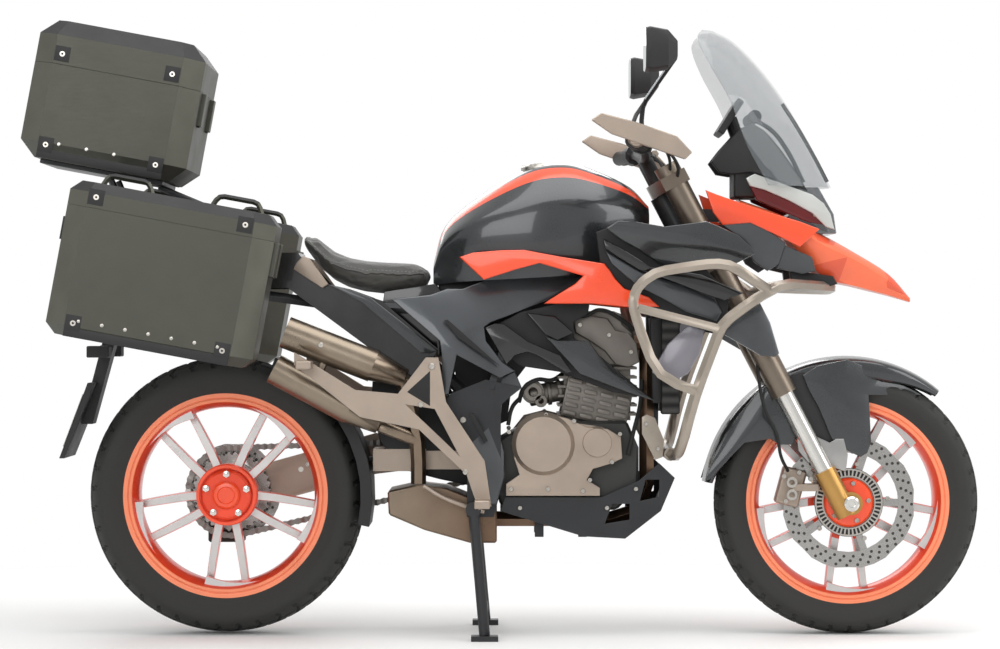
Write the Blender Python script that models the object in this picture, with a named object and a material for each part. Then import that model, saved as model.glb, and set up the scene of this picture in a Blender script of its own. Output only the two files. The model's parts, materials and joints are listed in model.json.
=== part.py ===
import math
import bpy
import bmesh
from mathutils import Matrix, Vector

for old in list(bpy.data.objects):
    bpy.data.objects.remove(old, do_unlink=True)

# Adventure motorcycle, facing +X, its left side at +Y, standing on its centre stand.
# While it is modelled, X is counted from the rear axle and Z from the floor.
# Names that end in share or shares are parts of the size that they follow.

# Clearances shared by all pieces
seat_gap = 0.0003
running_gap = 0.006
flat_angle = math.radians(0.1)
overrun = 0.004
weld_distance = 0.00002
smooth_angle = math.radians(38)

# Wheels and where they stand
wheelbase = 1.405
rear_tyre_radius = 0.312
rear_tyre_width = 0.160
rear_lift = 0.003
front_tyre_radius = 0.300
front_tyre_width = 0.120
bead_radius = 0.2225
tyre_steps = 36
rim_flange_height = 0.009
rim_flange_width = 0.007
rim_wall = 0.016
rear_hub_radius = 0.070
front_hub_radius = 0.045
hub_cap_radius = 0.032
hub_cap_height = 0.012
lug_circle_radius = 0.048
lug_radius = 0.008
lug_height = 0.010
lug_count = 5
spoke_count = 5
spoke_root_width = 0.022
spoke_tip_width = 0.017
spoke_root_spread = 0.027
spoke_tip_spread = 0.088
spoke_depth = 0.040
front_axle_radius = 0.012
rear_axle_radius = 0.026

# Brakes and chain
front_disc_radius = 0.150
front_disc_inner_radius = 0.112
front_disc_y = -0.0640
sensor_ring_radius = 0.078
rear_disc_radius = 0.110
rear_disc_inner_radius = 0.080
rear_disc_y = 0.1610
disc_thickness = 0.0045
disc_arm_count = 5
disc_arm_width = 0.016
disc_scallop_count = 8
chain_pitch = 0.015875
chain_height = 0.0145
chain_width = 0.0165
chain_y = 0.1050
rear_sprocket_teeth = 40
front_sprocket_teeth = 15
sprocket_thickness = 0.0070
sprocket_tip_gap = 0.0020
drive_x = 0.635
drive_z = 0.400

# Steering geometry
rake = math.radians(27.5)
fork_offset = 0.030
axle_lug_offset = 0.018
steering_head_z = 0.919
steering_head_length = 0.173
bearing_gap = 0.001
steering_head_radius = 0.030
fork_half_spread = 0.104
stanchion_radius = 0.0205
slider_radius = 0.0285
clamp_height = 0.030
fork_top_z = 1.058
slider_bottom_z = 0.545
lug_top_z = 0.375
lug_drop = 0.020
lug_half_width = 0.016
lug_boss_radius = 0.026
stem_radius = 0.014

# Frame
frame_tube_radius = 0.016
rear_tube_radius = 0.013
spar_half_width = 0.100
spar_bend_x = 0.660
spar_bend_z = 0.735
spar_rear_x = 0.600
spar_rear_z = 0.555
spar_corner = 0.045
pivot_plate_x = 0.486
pivot_plate_z = 0.272
pivot_plate_length = 0.179
pivot_plate_height = 0.306
pivot_plate_thickness = 0.024
pivot_plate_y = 0.150
subframe_half_width = 0.095
rail_front_x = 0.560
rail_front_z = 0.735
rail_mid_x = 0.430
rail_mid_z = 0.735
rail_kick_x = 0.240
rail_kick_z = 0.745
rail_rear_x = -0.140
rail_rear_z = 0.800
rail_corner = 0.040
strut_low_x = 0.540
strut_low_z = 0.545
strut_mid_x = 0.505
strut_mid_z = 0.580
cross_upper_x = 0.565
cross_upper_z = 0.545
cross_lower_x = 0.585
cross_lower_z = 0.318
cross_tube_share = 0.88
tank_mount_length = 0.040
tank_mount_half_width = 0.018
cover_mount_x = 0.520
cover_mount_half = 0.010
cover_mount_reach = 0.003
spar_neck_share = 0.20
down_tube_x = 0.965
down_bend_z = 0.800
nose_bracket_z = 0.935
nose_bracket_height = 0.028
nose_bracket_half_width = 0.020

# Engine
engine_rear_x = 0.600
engine_floor_z = 0.285
engine_length = 0.330
engine_height = 0.200
engine_half_width = 0.108
engine_left_y = 0.088
engine_edge = 0.006
engine_lug_x = 0.612
engine_lug_z = 0.338
engine_lug_radius = 0.009
alternator_x = 0.752
alternator_z = 0.385
alternator_radius = 0.055
alternator_depth = 0.035
cover_taper_share = 0.86
clutch_x = 0.716
clutch_z = 0.434
clutch_radius = 0.071
clutch_depth = 0.040
small_cover_x = 0.836
small_cover_z = 0.437
small_cover_radius = 0.0365
cylinder_half_width = 0.070
cylinder_x = 0.838
cylinder_length = 0.150
cylinder_height = 0.125
fin_count = 6
fin_thickness = 0.006
fin_reach = 0.014
head_length = 0.165
head_height = 0.125
head_half_width = 0.085
radiator_z = 0.505
radiator_height = 0.260
radiator_half_width = 0.150
radiator_thickness = 0.035

# Bash plate, exhaust and footrests
bash_rear_x = 0.619
bash_floor_z = 0.222
bash_length = 0.391
bash_height = 0.169
bash_half_width = 0.125
bash_wall = 0.004
box_rear_x = 0.367
box_floor_z = 0.212
box_length = 0.245
box_height = 0.131
box_right_y = -0.120
box_left_y = 0.060
header_radius = 0.019
header_y = -0.045
header_front_x = 0.950
header_floor_z = 0.262
header_corner = 0.080
port_z = 0.660
pipe_foot_x = 0.436
pipe_foot_y = -0.095
pipe_bend_z = 0.440
silencer_y = -0.165
upper_rear_x = 0.142
upper_rear_z = 0.684
upper_front_x = 0.338
upper_front_z = 0.608
lower_rear_x = 0.117
lower_rear_z = 0.603
lower_front_x = 0.285
lower_front_z = 0.512
silencer_cone_length = 0.075
silencer_upper_radius = 0.036
silencer_lower_radius = 0.034
silencer_wall = 0.003
footrest_plate_y = -0.212
footrest_x = 0.165
footrest_z = 0.292
footrest_length = 0.435
footrest_height = 0.348
footrest_bolt_x = 0.566
footrest_bolt_z = 0.385
footrest_top_x = 0.474
footrest_top_z = 0.605
stand_off_radius = 0.010
rider_peg_x = 0.580
rider_peg_z = 0.308
passenger_peg_x = 0.190
passenger_peg_z = 0.612
footrest_plate_thickness = 0.010
peg_length = 0.085
peg_height = 0.018
peg_width = 0.034

# Swingarm and what it carries
swingarm_pivot_x = 0.577
swingarm_pivot_z = 0.395
arm_block_length = 0.120
arm_block_height = 0.050
arm_inner_half_width = 0.060
arm_rise = 0.030
caliper_angle = math.radians(-100)
caliper_half_width = 0.020
hugger_steps = 9
hugger_low_angle = math.radians(-12)
hugger_high_angle = math.radians(70)
hugger_side_drop = 0.022
swingarm_y = 0.135
swingarm_width = 0.028
swingarm_hub_radius = 0.060
hugger_gap = 0.016
hugger_thickness = 0.004
hugger_half_width = 0.092
hugger_mount_half_width = 0.020
hugger_mount_half = 0.005

# Tank, seat and panels
tank_rear_x = 0.469
tank_floor_z = 0.775
tank_length = 0.487
tank_height = 0.296
tank_half_width = 0.150
seat_rear_x = 0.173
seat_floor_z = 0.767
seat_height = 0.146
seat_half_width = 0.125
panel_thickness = 0.010
edge_share = 0.30
tank_bulge_share = 1.06
mid_cover_y = tank_half_width * tank_bulge_share + seat_gap + panel_thickness
mid_cover_x = 0.400
mid_cover_z = 0.655
mid_cover_length = 0.445
mid_cover_height = 0.183
side_panel_y = mid_cover_y + seat_gap + panel_thickness
side_panel_x = 0.531
side_panel_z = 0.744
side_panel_length = 0.440
side_panel_height = 0.122
fairing_y = 0.205
fairing_thickness = 0.012
fairing_x = 0.883
fairing_z = 0.632
fairing_length = 0.350
fairing_height = 0.303
tail_half_width = subframe_half_width + rear_tube_radius + seat_gap + panel_thickness
tail_x = -0.240
tail_z = 0.568
tail_length = 0.720
tail_height = 0.304
tail_end_x = tail_x
deck_z = 0.862
tail_end_height = 0.085
lamp_depth = 0.022
plate_x = -0.372
plate_z = 0.400
plate_length = 0.150
plate_board_length = 0.080
plate_height = 0.170
plate_half_width = 0.090
indicator_z = 0.640
indicator_y = 0.085
indicator_length = 0.050
indicator_width = 0.055
indicator_height = 0.026
stalk_radius = 0.006
indicator_place_share = 0.62

# Nose
beak_rear_x = 1.088
beak_floor_z = 0.752
beak_length = 0.462
beak_height = 0.255
beak_half_width = 0.115
headlamp_x = 1.268
headlamp_z = 0.905
headlamp_length = 0.108
headlamp_half_width = 0.085
screen_rear_x = 1.056
screen_floor_z = 1.012
screen_length = 0.316
screen_height = 0.355
screen_half_width = 0.165
screen_thickness = 0.004
screen_steps = 6
housing_x = 1.146
housing_length = 0.080
housing_height = 0.135
housing_half_width = 0.070
display_x = 1.139
display_z = 1.170
display_thickness = 0.016
display_height = 0.088
display_half_width = 0.080
display_tilt = math.radians(32)

# Crash bars
crash_bar_radius = 0.0135
crash_bar_y = 0.250
crash_low_z = 0.4115
crash_length = 0.375
crash_height = 0.430
crash_mount_y = 0.130
crash_pad_reach = 0.018
crash_pad_half_width = 0.012
crash_lower_x = down_tube_x + frame_tube_radius + seat_gap + crash_pad_reach
crash_knee_y = 0.235
crash_corner = 0.045

# Handlebar, guards and mirrors
bar_radius = 0.011
bar_x = 0.905
bar_z = 1.098
bar_half_width = 0.370
grip_radius = 0.017
grip_length = 0.120
riser_height = 0.055
bar_centre_half = 0.060
bar_rise_run = 0.035
bar_corner = 0.050
riser_half_spread = 0.035
lever_reach = 0.032
guard_height = 0.085
guard_thickness = 0.010
guard_end_length = 0.020
guard_reach = 0.080
guard_inset = 0.100
guard_rise = 0.015
guard_back = 0.090
guard_nose = 0.047
mirror_stem_rise = 0.060
mirror_ring_steps = 16
mirror_x = 0.965
mirror_z = 1.292
mirror_y = 0.385
mirror_length = 0.070
mirror_height = 0.100
mirror_half_width = 0.070

# Front mudguard and caliper
mudguard_gap = 0.020
mudguard_thickness = 0.004
mudguard_half_width = 0.0745
mudguard_steps = 14
mudguard_front_angle = math.radians(50)
mudguard_rear_angle = math.radians(172)
mudguard_nose_share = 0.70
mudguard_side_drop = 0.034
mudguard_crown = 0.008
front_caliper_angle = math.radians(165)
caliper_length = 0.085
caliper_height = 0.055

# Luggage
case_tilt = math.radians(10.5)
case_wall = 0.0025
case_chamfer = 0.045
top_case_x = -0.270
top_case_z = 1.047
top_case_length = 0.375
top_case_width = 0.400
top_case_height = 0.210
top_lid_height = 0.100
top_case_crown = 0.035
pannier_x = -0.135
pannier_z = 0.645
pannier_length = 0.450
pannier_width = 0.230
pannier_height = 0.278
pannier_lid_height = 0.055
pannier_crown = 0.022
pannier_inner_y = 0.242
carrier_tube_radius = 0.009
carrier_plate_share = 0.74
carrier_plate_thickness = 0.010
hoop_corner = 0.040
leg_y = 0.070
clasp_place_share = 0.62
clasp_width = 0.034
clasp_height = 0.075
clasp_depth = 0.010
grip_loop_length = 0.110
grip_loop_height = 0.024
grip_loop_radius = 0.006

# Centre stand
stand_pivot_x = 0.560
stand_pivot_z = 0.290
stand_foot_x = 0.585
stand_half_spread = 0.165
stand_foot_spread = 0.190
stand_leg_radius = 0.0125
stand_bar_drop = 0.240
stand_foot_length = 0.060
stand_foot_width = 0.040
stand_foot_height = 0.012

# Outlines as shares of each piece's own length and height, from its lower rear corner
engine_shares = [
    (0.00, 0.35), (0.06, 0.05), (0.15, 0.00), (0.85, 0.00), (1.00, 0.25),
    (1.00, 0.70), (0.92, 1.00), (0.30, 1.00), (0.12, 0.86), (0.00, 0.75),
]
head_shares = [
    (0.00, 0.00), (1.00, 0.00), (1.00, 0.62), (0.86, 0.78), (0.86, 0.93), (0.72, 1.00),
    (0.12, 1.00), (0.00, 0.86),
]
bash_shares = [
    (0.028, 0.55), (0.00, 0.367), (0.476, 0.03), (0.716, 0.00), (0.92, 0.367),
    (1.00, 0.805), (0.91, 1.00), (0.79, 0.763), (0.583, 0.55),
]
bash_inner_shares = [
    (-0.05, 0.42), (0.476, 0.03), (0.710, 0.00), (0.906, 0.367), (0.984, 0.80),
    (0.88, 1.20), (-0.05, 1.20),
]
bash_window_shares = [
    # corner along and up, width, height
    (0.60, 0.20, 0.14, 0.26), (0.80, 0.50, 0.11, 0.28),
]
bash_post_shares = [0.20, 0.45]
bash_slot_share = 0.60
box_shares = [
    (0.00, 0.885), (0.012, 0.48), (0.339, 0.22), (0.755, 0.00), (1.00, 0.00),
    (1.00, 0.67), (0.91, 0.67), (0.543, 0.94), (0.28, 1.00),
]
footrest_shares = [
    (0.00, 1.00), (0.31, 0.76), (0.526, 0.736), (0.667, 0.966), (0.731, 0.966), (0.77, 0.684),
    (0.966, 0.31), (1.00, 0.023), (0.936, 0.00), (0.874, 0.224), (0.632, 0.511), (0.333, 0.589),
    (0.00, 0.92),
]
footrest_window_shares = [(0.563, 0.67), (0.713, 0.64), (0.84, 0.339), (0.77, 0.425)]
side_panel_shares = [
    (0.00, 0.87), (0.116, 0.47), (0.392, 0.78), (0.623, 0.544), (0.427, 0.04), (1.00, 0.00),
    (0.804, 0.328), (0.714, 0.727), (0.296, 1.00),
]
mid_cover_shares = [
    (0.00, 0.546), (0.09, 0.246), (0.20, 0.00), (0.45, 0.246), (0.72, 0.44), (0.90, 0.63),
    (1.00, 0.967), (0.674, 1.00), (0.405, 0.79), (0.225, 0.738),
]
fairing_shares = [
    (0.00, 1.00), (0.25, 0.37), (0.45, 0.30), (0.673, 0.07), (1.00, 0.00), (0.925, 0.224),
    (0.711, 0.39), (0.767, 0.55), (0.868, 0.747), (0.749, 0.885), (0.516, 0.987), (0.302, 0.942),
]
tail_shares = [
    (0.00, 0.967), (0.00, 0.697), (0.534, 0.706), (0.938, 0.00), (1.00, 0.257), (0.826, 0.61),
    (0.656, 0.736), (0.5625, 0.967),
]
plate_shares = [(0.275, 0.20), (0.45, 0.20), (1.00, 1.00), (0.80, 1.00)]
plate_board_shares = [(0.00, 0.00), (0.15, 0.00), (1.00, 1.00), (0.80, 1.00)]
headlamp_shares = [(0.00, 0.00), (1.00, 0.00), (0.94, 0.42), (0.62, 1.00), (0.00, 1.00)]
housing_shares = [(0.00, 0.00), (1.00, 0.00), (0.90, 0.55), (0.55, 1.00), (0.20, 1.00), (0.00, 0.50)]
crash_main_shares = [
    # along, up, share of the cage's half width
    (0.126, 0.308, 1.00), (0.283, 0.671, 1.00), (0.374, 0.736, 1.00), (0.614, 0.880, 0.96),
    (0.982, 0.864, 0.30),
]
crash_loop_shares = [
    (0.560, 0.848, 0.97), (0.326, 0.983, 1.00), (0.203, 0.983, 1.00), (-0.111, 0.940, 1.00),
    (-0.213, 0.864, 1.00), (-0.242, 0.787, 1.00), (-0.189, 0.629, 1.00), (-0.090, 0.406, 1.00),
    (0.134, 0.334, 1.00),
]
crash_brace_shares = [(-0.205, 0.757, 1.00), (0.275, 0.650, 1.00)]
hoop_shares = [
    # along and up the pannier, share of the hoop's reach across the bike
    (0.28, 1.12, 0.30), (0.28, 1.12, 0.84), (0.28, 0.90, 1.00), (0.26, 0.20, 1.00),
    (-0.36, 0.22, 1.00), (-0.36, 0.90, 1.00), (-0.36, 1.12, 0.84), (-0.36, 1.12, 0.30),
]
pannier_grip_shares = [(0.27, 0.30), (-0.27, 0.30)]
guard_shares = [
    (0.00, 0.85), (0.20, 0.55), (0.60, 0.25), (0.93, 0.00), (1.00, 0.15), (0.85, 0.50),
    (0.45, 0.80), (0.10, 1.00),
]
mudguard_boss_shares = (0.02, 0.072)
mudguard_stay_shares = [
    # along and up from the front axle, in shares of the tyre's radius
    (-0.25, 0.98), (0.02, 1.02), (0.17, 0.80), (0.165, 0.42), (0.06, 0.055), (-0.02, 0.055),
    (-0.02, 0.30), (-0.12, 0.60),
]

# Axles, joints and the steering axis, worked out from the sizes above
rear_axle = Vector((0, 0, rear_tyre_radius + rear_lift))
front_axle = Vector((wheelbase, 0, front_tyre_radius))
steering_up = Vector((-math.sin(rake), 0, math.cos(rake)))
steering_forward = Vector((math.cos(rake), 0, math.sin(rake)))
axis_foot = front_axle - steering_forward * (fork_offset + axle_lug_offset)


def on_steering_axis(height, forward=0):
    """the point at a height above the floor, a distance ahead of the steering axis"""
    foot = axis_foot + steering_forward * forward
    return foot + steering_up * ((height - foot.z) / steering_up.z)


steering_head = on_steering_axis(steering_head_z)
clamp_reach = (steering_head_length / 2 + bearing_gap + clamp_height / 2) * steering_up.z
clamp_top_z = steering_head_z + clamp_reach
clamp_bottom_z = steering_head_z - clamp_reach


# Materials: colour in linear light, roughness, metallic
finishes = {
    "body_grey": ((0.052, 0.055, 0.058), 0.38, 0.35),
    "accent_red": ((0.80, 0.085, 0.022), 0.35, 0.1),
    "gloss_black": ((0.008, 0.008, 0.009), 0.15, 0.0),
    "matt_black": ((0.014, 0.014, 0.014), 0.65, 0.0),
    "champagne": ((0.42, 0.36, 0.30), 0.42, 0.75),
    "case_olive": ((0.075, 0.075, 0.062), 0.5, 0.5),
    "tyre_rubber": ((0.022, 0.022, 0.020), 0.85, 0.0),
    "wheel_red": ((0.62, 0.07, 0.02), 0.4, 0.4),
    "frame_dark": ((0.035, 0.036, 0.038), 0.45, 0.4),
    "steel": ((0.45, 0.44, 0.42), 0.3, 1.0),
    "bronze_steel": ((0.28, 0.22, 0.17), 0.35, 1.0),
    "seat_cover": ((0.040, 0.040, 0.035), 0.8, 0.0),
    "smoke_screen": ((0.30, 0.30, 0.30), 0.05, 0.0),
    "lamp_glass": ((0.80, 0.82, 0.85), 0.08, 0.0),
    "lamp_red": ((0.55, 0.01, 0.01), 0.2, 0.0),
    "mirror_glass": ((0.70, 0.72, 0.74), 0.05, 1.0),
}


def finish(name):
    """one Principled material for each finish"""
    if name in bpy.data.materials:
        return bpy.data.materials[name]
    colour, roughness, metallic = finishes[name]
    material = bpy.data.materials.new(name)
    material.use_nodes = True
    shader = material.node_tree.nodes["Principled BSDF"]
    shader.inputs["Base Color"].default_value = (*colour, 1)
    shader.inputs["Roughness"].default_value = roughness
    shader.inputs["Metallic"].default_value = metallic
    material.diffuse_color = (*colour, 1)
    return material


def pivot(name, place, parent=None):
    """an empty on a joint's axis, which carries the pieces that move with it"""
    empty = bpy.data.objects.new(name, None)
    empty.empty_display_size = seat_gap
    bpy.context.scene.collection.objects.link(empty)
    if parent:
        empty.parent = parent
        empty.location = place - parent.matrix_world.translation
    else:
        empty.location = place
    bpy.context.view_layer.update()
    return empty


def piece(name, bm, material, carrier):
    """a named sub-part, its origin on the empty that carries it"""
    bmesh.ops.recalc_face_normals(bm, faces=bm.faces)
    bmesh.ops.translate(bm, verts=bm.verts, vec=-carrier.matrix_world.translation)
    mesh = bpy.data.meshes.new(name)
    bm.to_mesh(mesh)
    bm.free()
    mesh.materials.append(finish(material))
    mesh.shade_smooth()
    mesh.set_sharp_from_angle(angle=smooth_angle)
    made = bpy.data.objects.new(name, mesh)
    bpy.context.scene.collection.objects.link(made)
    made.parent = carrier
    return made


def guide(bm):
    """a short-lived object for a Boolean, hidden from the model"""
    bmesh.ops.recalc_face_normals(bm, faces=bm.faces)
    mesh = bpy.data.meshes.new("guide")
    bm.to_mesh(mesh)
    bm.free()
    made = bpy.data.objects.new("guide", mesh)
    bpy.context.scene.collection.objects.link(made)
    made.hide_render = True
    made.display_type = "WIRE"
    return made


def combine(base, others, operation):
    """joins closed meshes to a base, or cuts them from it"""
    body = guide(base)
    tools = [guide(other) for other in others]
    for tool in tools:
        modifier = body.modifiers.new(operation.lower(), "BOOLEAN")
        modifier.operation = operation
        modifier.solver = "EXACT"
        modifier.object = tool
    result = bmesh.new()
    result.from_object(body, bpy.context.evaluated_depsgraph_get())
    for used in [body] + tools:
        mesh = used.data
        bpy.data.objects.remove(used, do_unlink=True)
        bpy.data.meshes.remove(mesh)
    bmesh.ops.remove_doubles(result, verts=result.verts, dist=weld_distance)
    bmesh.ops.dissolve_limit(result, angle_limit=flat_angle, verts=result.verts, edges=result.edges)
    return result


def fused(parts):
    return combine(parts[0], parts[1:], "UNION")


def cut(base, cutters):
    return combine(base, cutters, "DIFFERENCE")


def outline(x, z, length, height, shares):
    """places shares of a length and a height, from the lower rear corner"""
    return [(x + length * u, z + height * v) for u, v in shares]


def prism(points, y_low, y_high):
    """a plate with an outline of (x, z) points, between two planes across the bike"""
    bm = bmesh.new()
    face = bm.faces.new([bm.verts.new((x, y_low, z)) for x, z in points])
    grown = bmesh.ops.extrude_face_region(bm, geom=[face])
    moved = [item for item in grown["geom"] if isinstance(item, bmesh.types.BMVert)]
    bmesh.ops.translate(bm, verts=moved, vec=(0, y_high - y_low, 0))
    return bm


def block(x_low, x_high, y_low, y_high, z_low, z_high):
    corners = [(x_low, z_low), (x_high, z_low), (x_high, z_high), (x_low, z_high)]
    return prism(corners, y_low, y_high)


def softened(bm, width, segments=1):
    """bevels every sharp edge of a plain solid"""
    bmesh.ops.recalc_face_normals(bm, faces=bm.faces)
    sharp = [edge for edge in bm.edges if edge.calc_face_angle(0) > smooth_angle]
    bmesh.ops.bevel(bm, geom=sharp, offset=width, segments=segments, profile=0.5,
                    affect="EDGES", clamp_overlap=True)
    return bm


def loft(sections):
    """a closed skin over rings of points, capped at both ends"""
    bm = bmesh.new()
    rings = [[bm.verts.new(point) for point in section] for section in sections]
    for ring, following in zip(rings, rings[1:]):
        for index in range(len(ring)):
            after = (index + 1) % len(ring)
            bm.faces.new((ring[index], ring[after], following[after], following[index]))
    bm.faces.new(rings[0])
    bm.faces.new(rings[-1])
    return bm


def turned(profile, steps, centre):
    """a profile of (radius, y) points turned about the axis across the bike"""
    bm = bmesh.new()
    verts = [bm.verts.new((radius, y, 0)) for radius, y in profile]
    edges = [bm.edges.new(pair) for pair in zip(verts, verts[1:])]
    if profile[0][0] > 0 or profile[-1][0] > 0:
        edges.append(bm.edges.new((verts[-1], verts[0])))
    bmesh.ops.spin(bm, geom=verts + edges, cent=(0, 0, 0), axis=(0, 1, 0),
                   angle=2 * math.pi, steps=steps, use_merge=True)
    bmesh.ops.remove_doubles(bm, verts=bm.verts, dist=weld_distance)
    bmesh.ops.translate(bm, verts=bm.verts, vec=centre)
    return bm


def rod(start, end, radius, steps=10, end_radius=None):
    """a round bar or a cone between two points"""
    start = Vector(start)
    end = Vector(end)
    run = end - start
    bm = bmesh.new()
    bmesh.ops.create_cone(bm, cap_ends=True, cap_tris=False, segments=steps, radius1=radius,
                          radius2=radius if end_radius is None else end_radius, depth=run.length)
    turn = run.to_track_quat("Z", "Y").to_matrix().to_4x4()
    bmesh.ops.transform(bm, matrix=Matrix.Translation((start + end) / 2) @ turn, verts=bm.verts)
    return bm


def rounded(points, corner, steps=2):
    """a route whose corners are rounded, by cutting each back and bending through it"""
    points = [Vector(point) for point in points]
    route = [points[0]]
    for before, here, after in zip(points, points[1:], points[2:]):
        back = min(corner, (before - here).length / 2, (after - here).length / 2)
        start = here + (before - here).normalized() * back
        end = here + (after - here).normalized() * back
        for step in range(steps + 1):
            share = step / steps
            route.append(start.lerp(here, share).lerp(here.lerp(end, share), share))
    route.append(points[-1])
    return route


def tube(points, radius, corner, resolution=1, steps=2):
    """a bent tube with filled ends, made as a curve with a round bevel"""
    curve = bpy.data.curves.new("route", "CURVE")
    curve.dimensions = "3D"
    curve.bevel_depth = radius
    curve.bevel_resolution = resolution
    curve.use_fill_caps = True
    route = rounded(points, corner, steps)
    spline = curve.splines.new("POLY")
    spline.points.add(len(route) - 1)
    for slot, point in zip(spline.points, route):
        slot.co = (*point, 1)
    made = bpy.data.objects.new("route", curve)
    bpy.context.scene.collection.objects.link(made)
    shown = made.evaluated_get(bpy.context.evaluated_depsgraph_get())
    mesh = bpy.data.meshes.new_from_object(shown)
    bm = bmesh.new()
    bm.from_mesh(mesh)
    bpy.data.objects.remove(made, do_unlink=True)
    bpy.data.curves.remove(curve)
    bpy.data.meshes.remove(mesh)
    bmesh.ops.remove_doubles(bm, verts=bm.verts, dist=weld_distance)
    return bm


def mirrored(bm):
    """the same shape on the other side of the bike"""
    copy = bm.copy()
    bmesh.ops.scale(copy, vec=(1, -1, 1), verts=copy.verts)
    bmesh.ops.reverse_faces(copy, faces=copy.faces)
    return copy


def both_sides(name, bm, material, carrier):
    """a right-hand piece, modelled at -Y, and its mirror image on the left"""
    other = mirrored(bm)
    piece(name + "_right", bm, material, carrier)
    piece(name + "_left", other, material, carrier)


# Joints: each moving group hangs on an empty on its own axis
motorcycle = pivot("motorcycle", Vector((0, 0, 0)))
steering = pivot("steering_axis", steering_head, motorcycle)
front_wheel = pivot("front_wheel_axis", front_axle, steering)
rear_wheel = pivot("rear_wheel_axis", rear_axle, motorcycle)


# Wheels
tyre_profile_shares = [
    # share of the tyre's depth from bead to crown, share of its half width
    (0.23, 0.90),
    (0.42, 0.99),
    (0.62, 1.00),
    (0.80, 0.80),
    (0.93, 0.46),
    (1.00, 0.00),
]


def tyre(radius, width, axle):
    """a tyre as one turned ring, seated on its rim at the bead"""
    low = bead_radius + seat_gap
    depth = radius - low
    seat = width * rim_width_share / 2 - rim_flange_width - seat_gap
    near = [(low, seat), (bead_radius + rim_flange_height + seat_gap, seat)]
    near += [(low + depth * up, width / 2 * out) for up, out in tyre_profile_shares]
    far = [(r, -y) for r, y in reversed(near[:-1])]
    return turned(near + far, tyre_steps, axle)


def spoke(root_radius, tip_radius, angle, spread_root, spread_tip, depth):
    """one leg of a split spoke, from the hub to the rim"""
    sections = []
    for radius, middle, width, thick in (
        (root_radius, spread_root, spoke_root_width, depth),
        (tip_radius, spread_tip, spoke_tip_width, depth * spoke_tip_depth_share),
    ):
        ring = []
        for across, side in ((-1, -1), (1, -1), (1, 1), (-1, 1)):
            along = Vector((radius, side * thick / 2, middle + across * width / 2))
            ring.append(Matrix.Rotation(angle, 3, "Y") @ along)
        sections.append(ring)
    return loft(sections)


spoke_tip_depth_share = 0.8
rim_inner_share = 0.93
hub_cone_share = 0.62


def rim(axle, width, hub_radius, hub_low, hub_high, bore, legs_spread, extras):
    """a cast rim, its five split spokes and its hub, with the axle's bore"""
    half = width / 2
    well = bead_radius - seat_gap
    flange = bead_radius + rim_flange_height
    inner = bead_radius - rim_wall
    ring = turned([
        (flange, half), (flange, half - rim_flange_width + overrun / 2),
        (well, half - rim_flange_width), (well, rim_flange_width - half),
        (flange, rim_flange_width - half - overrun / 2), (flange, -half),
        (inner * rim_inner_share, -half), (inner, rim_flange_width - half),
        (inner, half - rim_flange_width), (inner * rim_inner_share, half),
    ], tyre_steps, Vector((0, 0, 0)))
    hub = turned([
        (bore, hub_low), (bore, hub_high), (hub_radius, hub_high), (hub_radius, hub_low),
    ], tyre_steps // 2, Vector((0, 0, 0)))
    legs = []
    for index in range(spoke_count):
        angle = 2 * math.pi * index / spoke_count + math.pi / 2
        for side in (-1, 1):
            legs.append(spoke(
                hub_radius * hub_cone_share, inner + overrun, angle,
                side * spoke_root_spread / 2, side * legs_spread / 2, spoke_depth,
            ))
    shape = fused([ring, hub] + legs + extras)
    bmesh.ops.translate(shape, verts=shape.verts, vec=axle)
    return shape


def scalloped_disc(radius, inner, y_low, y_high):
    """a brake disc whose outer edge is cut in shallow waves"""
    points = []
    steps = disc_scallop_count * 4
    for step in range(steps):
        angle = 2 * math.pi * step / steps
        dip = disc_wave_share * radius if step % 4 == 0 else 0
        points.append(((radius - dip) * math.cos(angle), (radius - dip) * math.sin(angle)))
    plate = prism(points, y_low, y_high)
    hole = turned([(0, y_low - overrun), (inner, y_low - overrun),
                   (inner, y_high + overrun), (0, y_high + overrun)], steps, Vector((0, 0, 0)))
    return cut(plate, [hole])


disc_wave_share = 0.025


def disc_arms(inner, carrier_radius, y_low, y_high):
    """the spokes of a disc's carrier, out to the disc's inner edge"""
    arms = []
    for index in range(disc_arm_count):
        angle = 2 * math.pi * index / disc_arm_count
        arm = block(carrier_radius - overrun, inner + overrun, y_low + overrun / 8,
                    y_high - overrun / 8, -disc_arm_width / 2, disc_arm_width / 2)
        bmesh.ops.rotate(arm, matrix=Matrix.Rotation(angle, 3, "Y"), verts=arm.verts)
        arms.append(arm)
    return arms


def ring_plate(outer, inner, y_low, y_high, steps, centre):
    return turned([(inner, y_low), (inner, y_high), (outer, y_high), (outer, y_low)], steps, centre)


def make_front_wheel():
    nave = Vector((0, 0, 0))
    piece("front_tyre", tyre(front_tyre_radius, front_tyre_width, front_axle), "tyre_rubber", front_wheel)
    rim_width = front_tyre_width * rim_width_share
    shape = rim(front_axle, rim_width, front_hub_radius, -spoke_depth * hub_width_share,
                spoke_depth * hub_width_share, front_axle_radius + seat_gap, spoke_tip_spread, [])
    piece("front_rim", shape, "wheel_red", front_wheel)
    low = front_disc_y - disc_thickness / 2
    high = front_disc_y + disc_thickness / 2
    hub_face = -spoke_depth * hub_width_share - seat_gap
    parts = [scalloped_disc(front_disc_radius, front_disc_inner_radius, low, high)]
    parts += disc_arms(front_disc_inner_radius, sensor_ring_radius, low, high)
    parts.append(ring_plate(sensor_ring_radius, front_hub_radius * hub_cone_share, low, high,
                            tyre_steps // 2, nave))
    parts.append(ring_plate(front_hub_radius * hub_bell_share, front_hub_radius * hub_cone_share,
                            low + disc_thickness / 2, hub_face, tyre_steps // 2, nave))
    shape = fused(parts)
    bmesh.ops.translate(shape, verts=shape.verts, vec=front_axle)
    piece("front_disc", shape, "steel", front_wheel)


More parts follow.
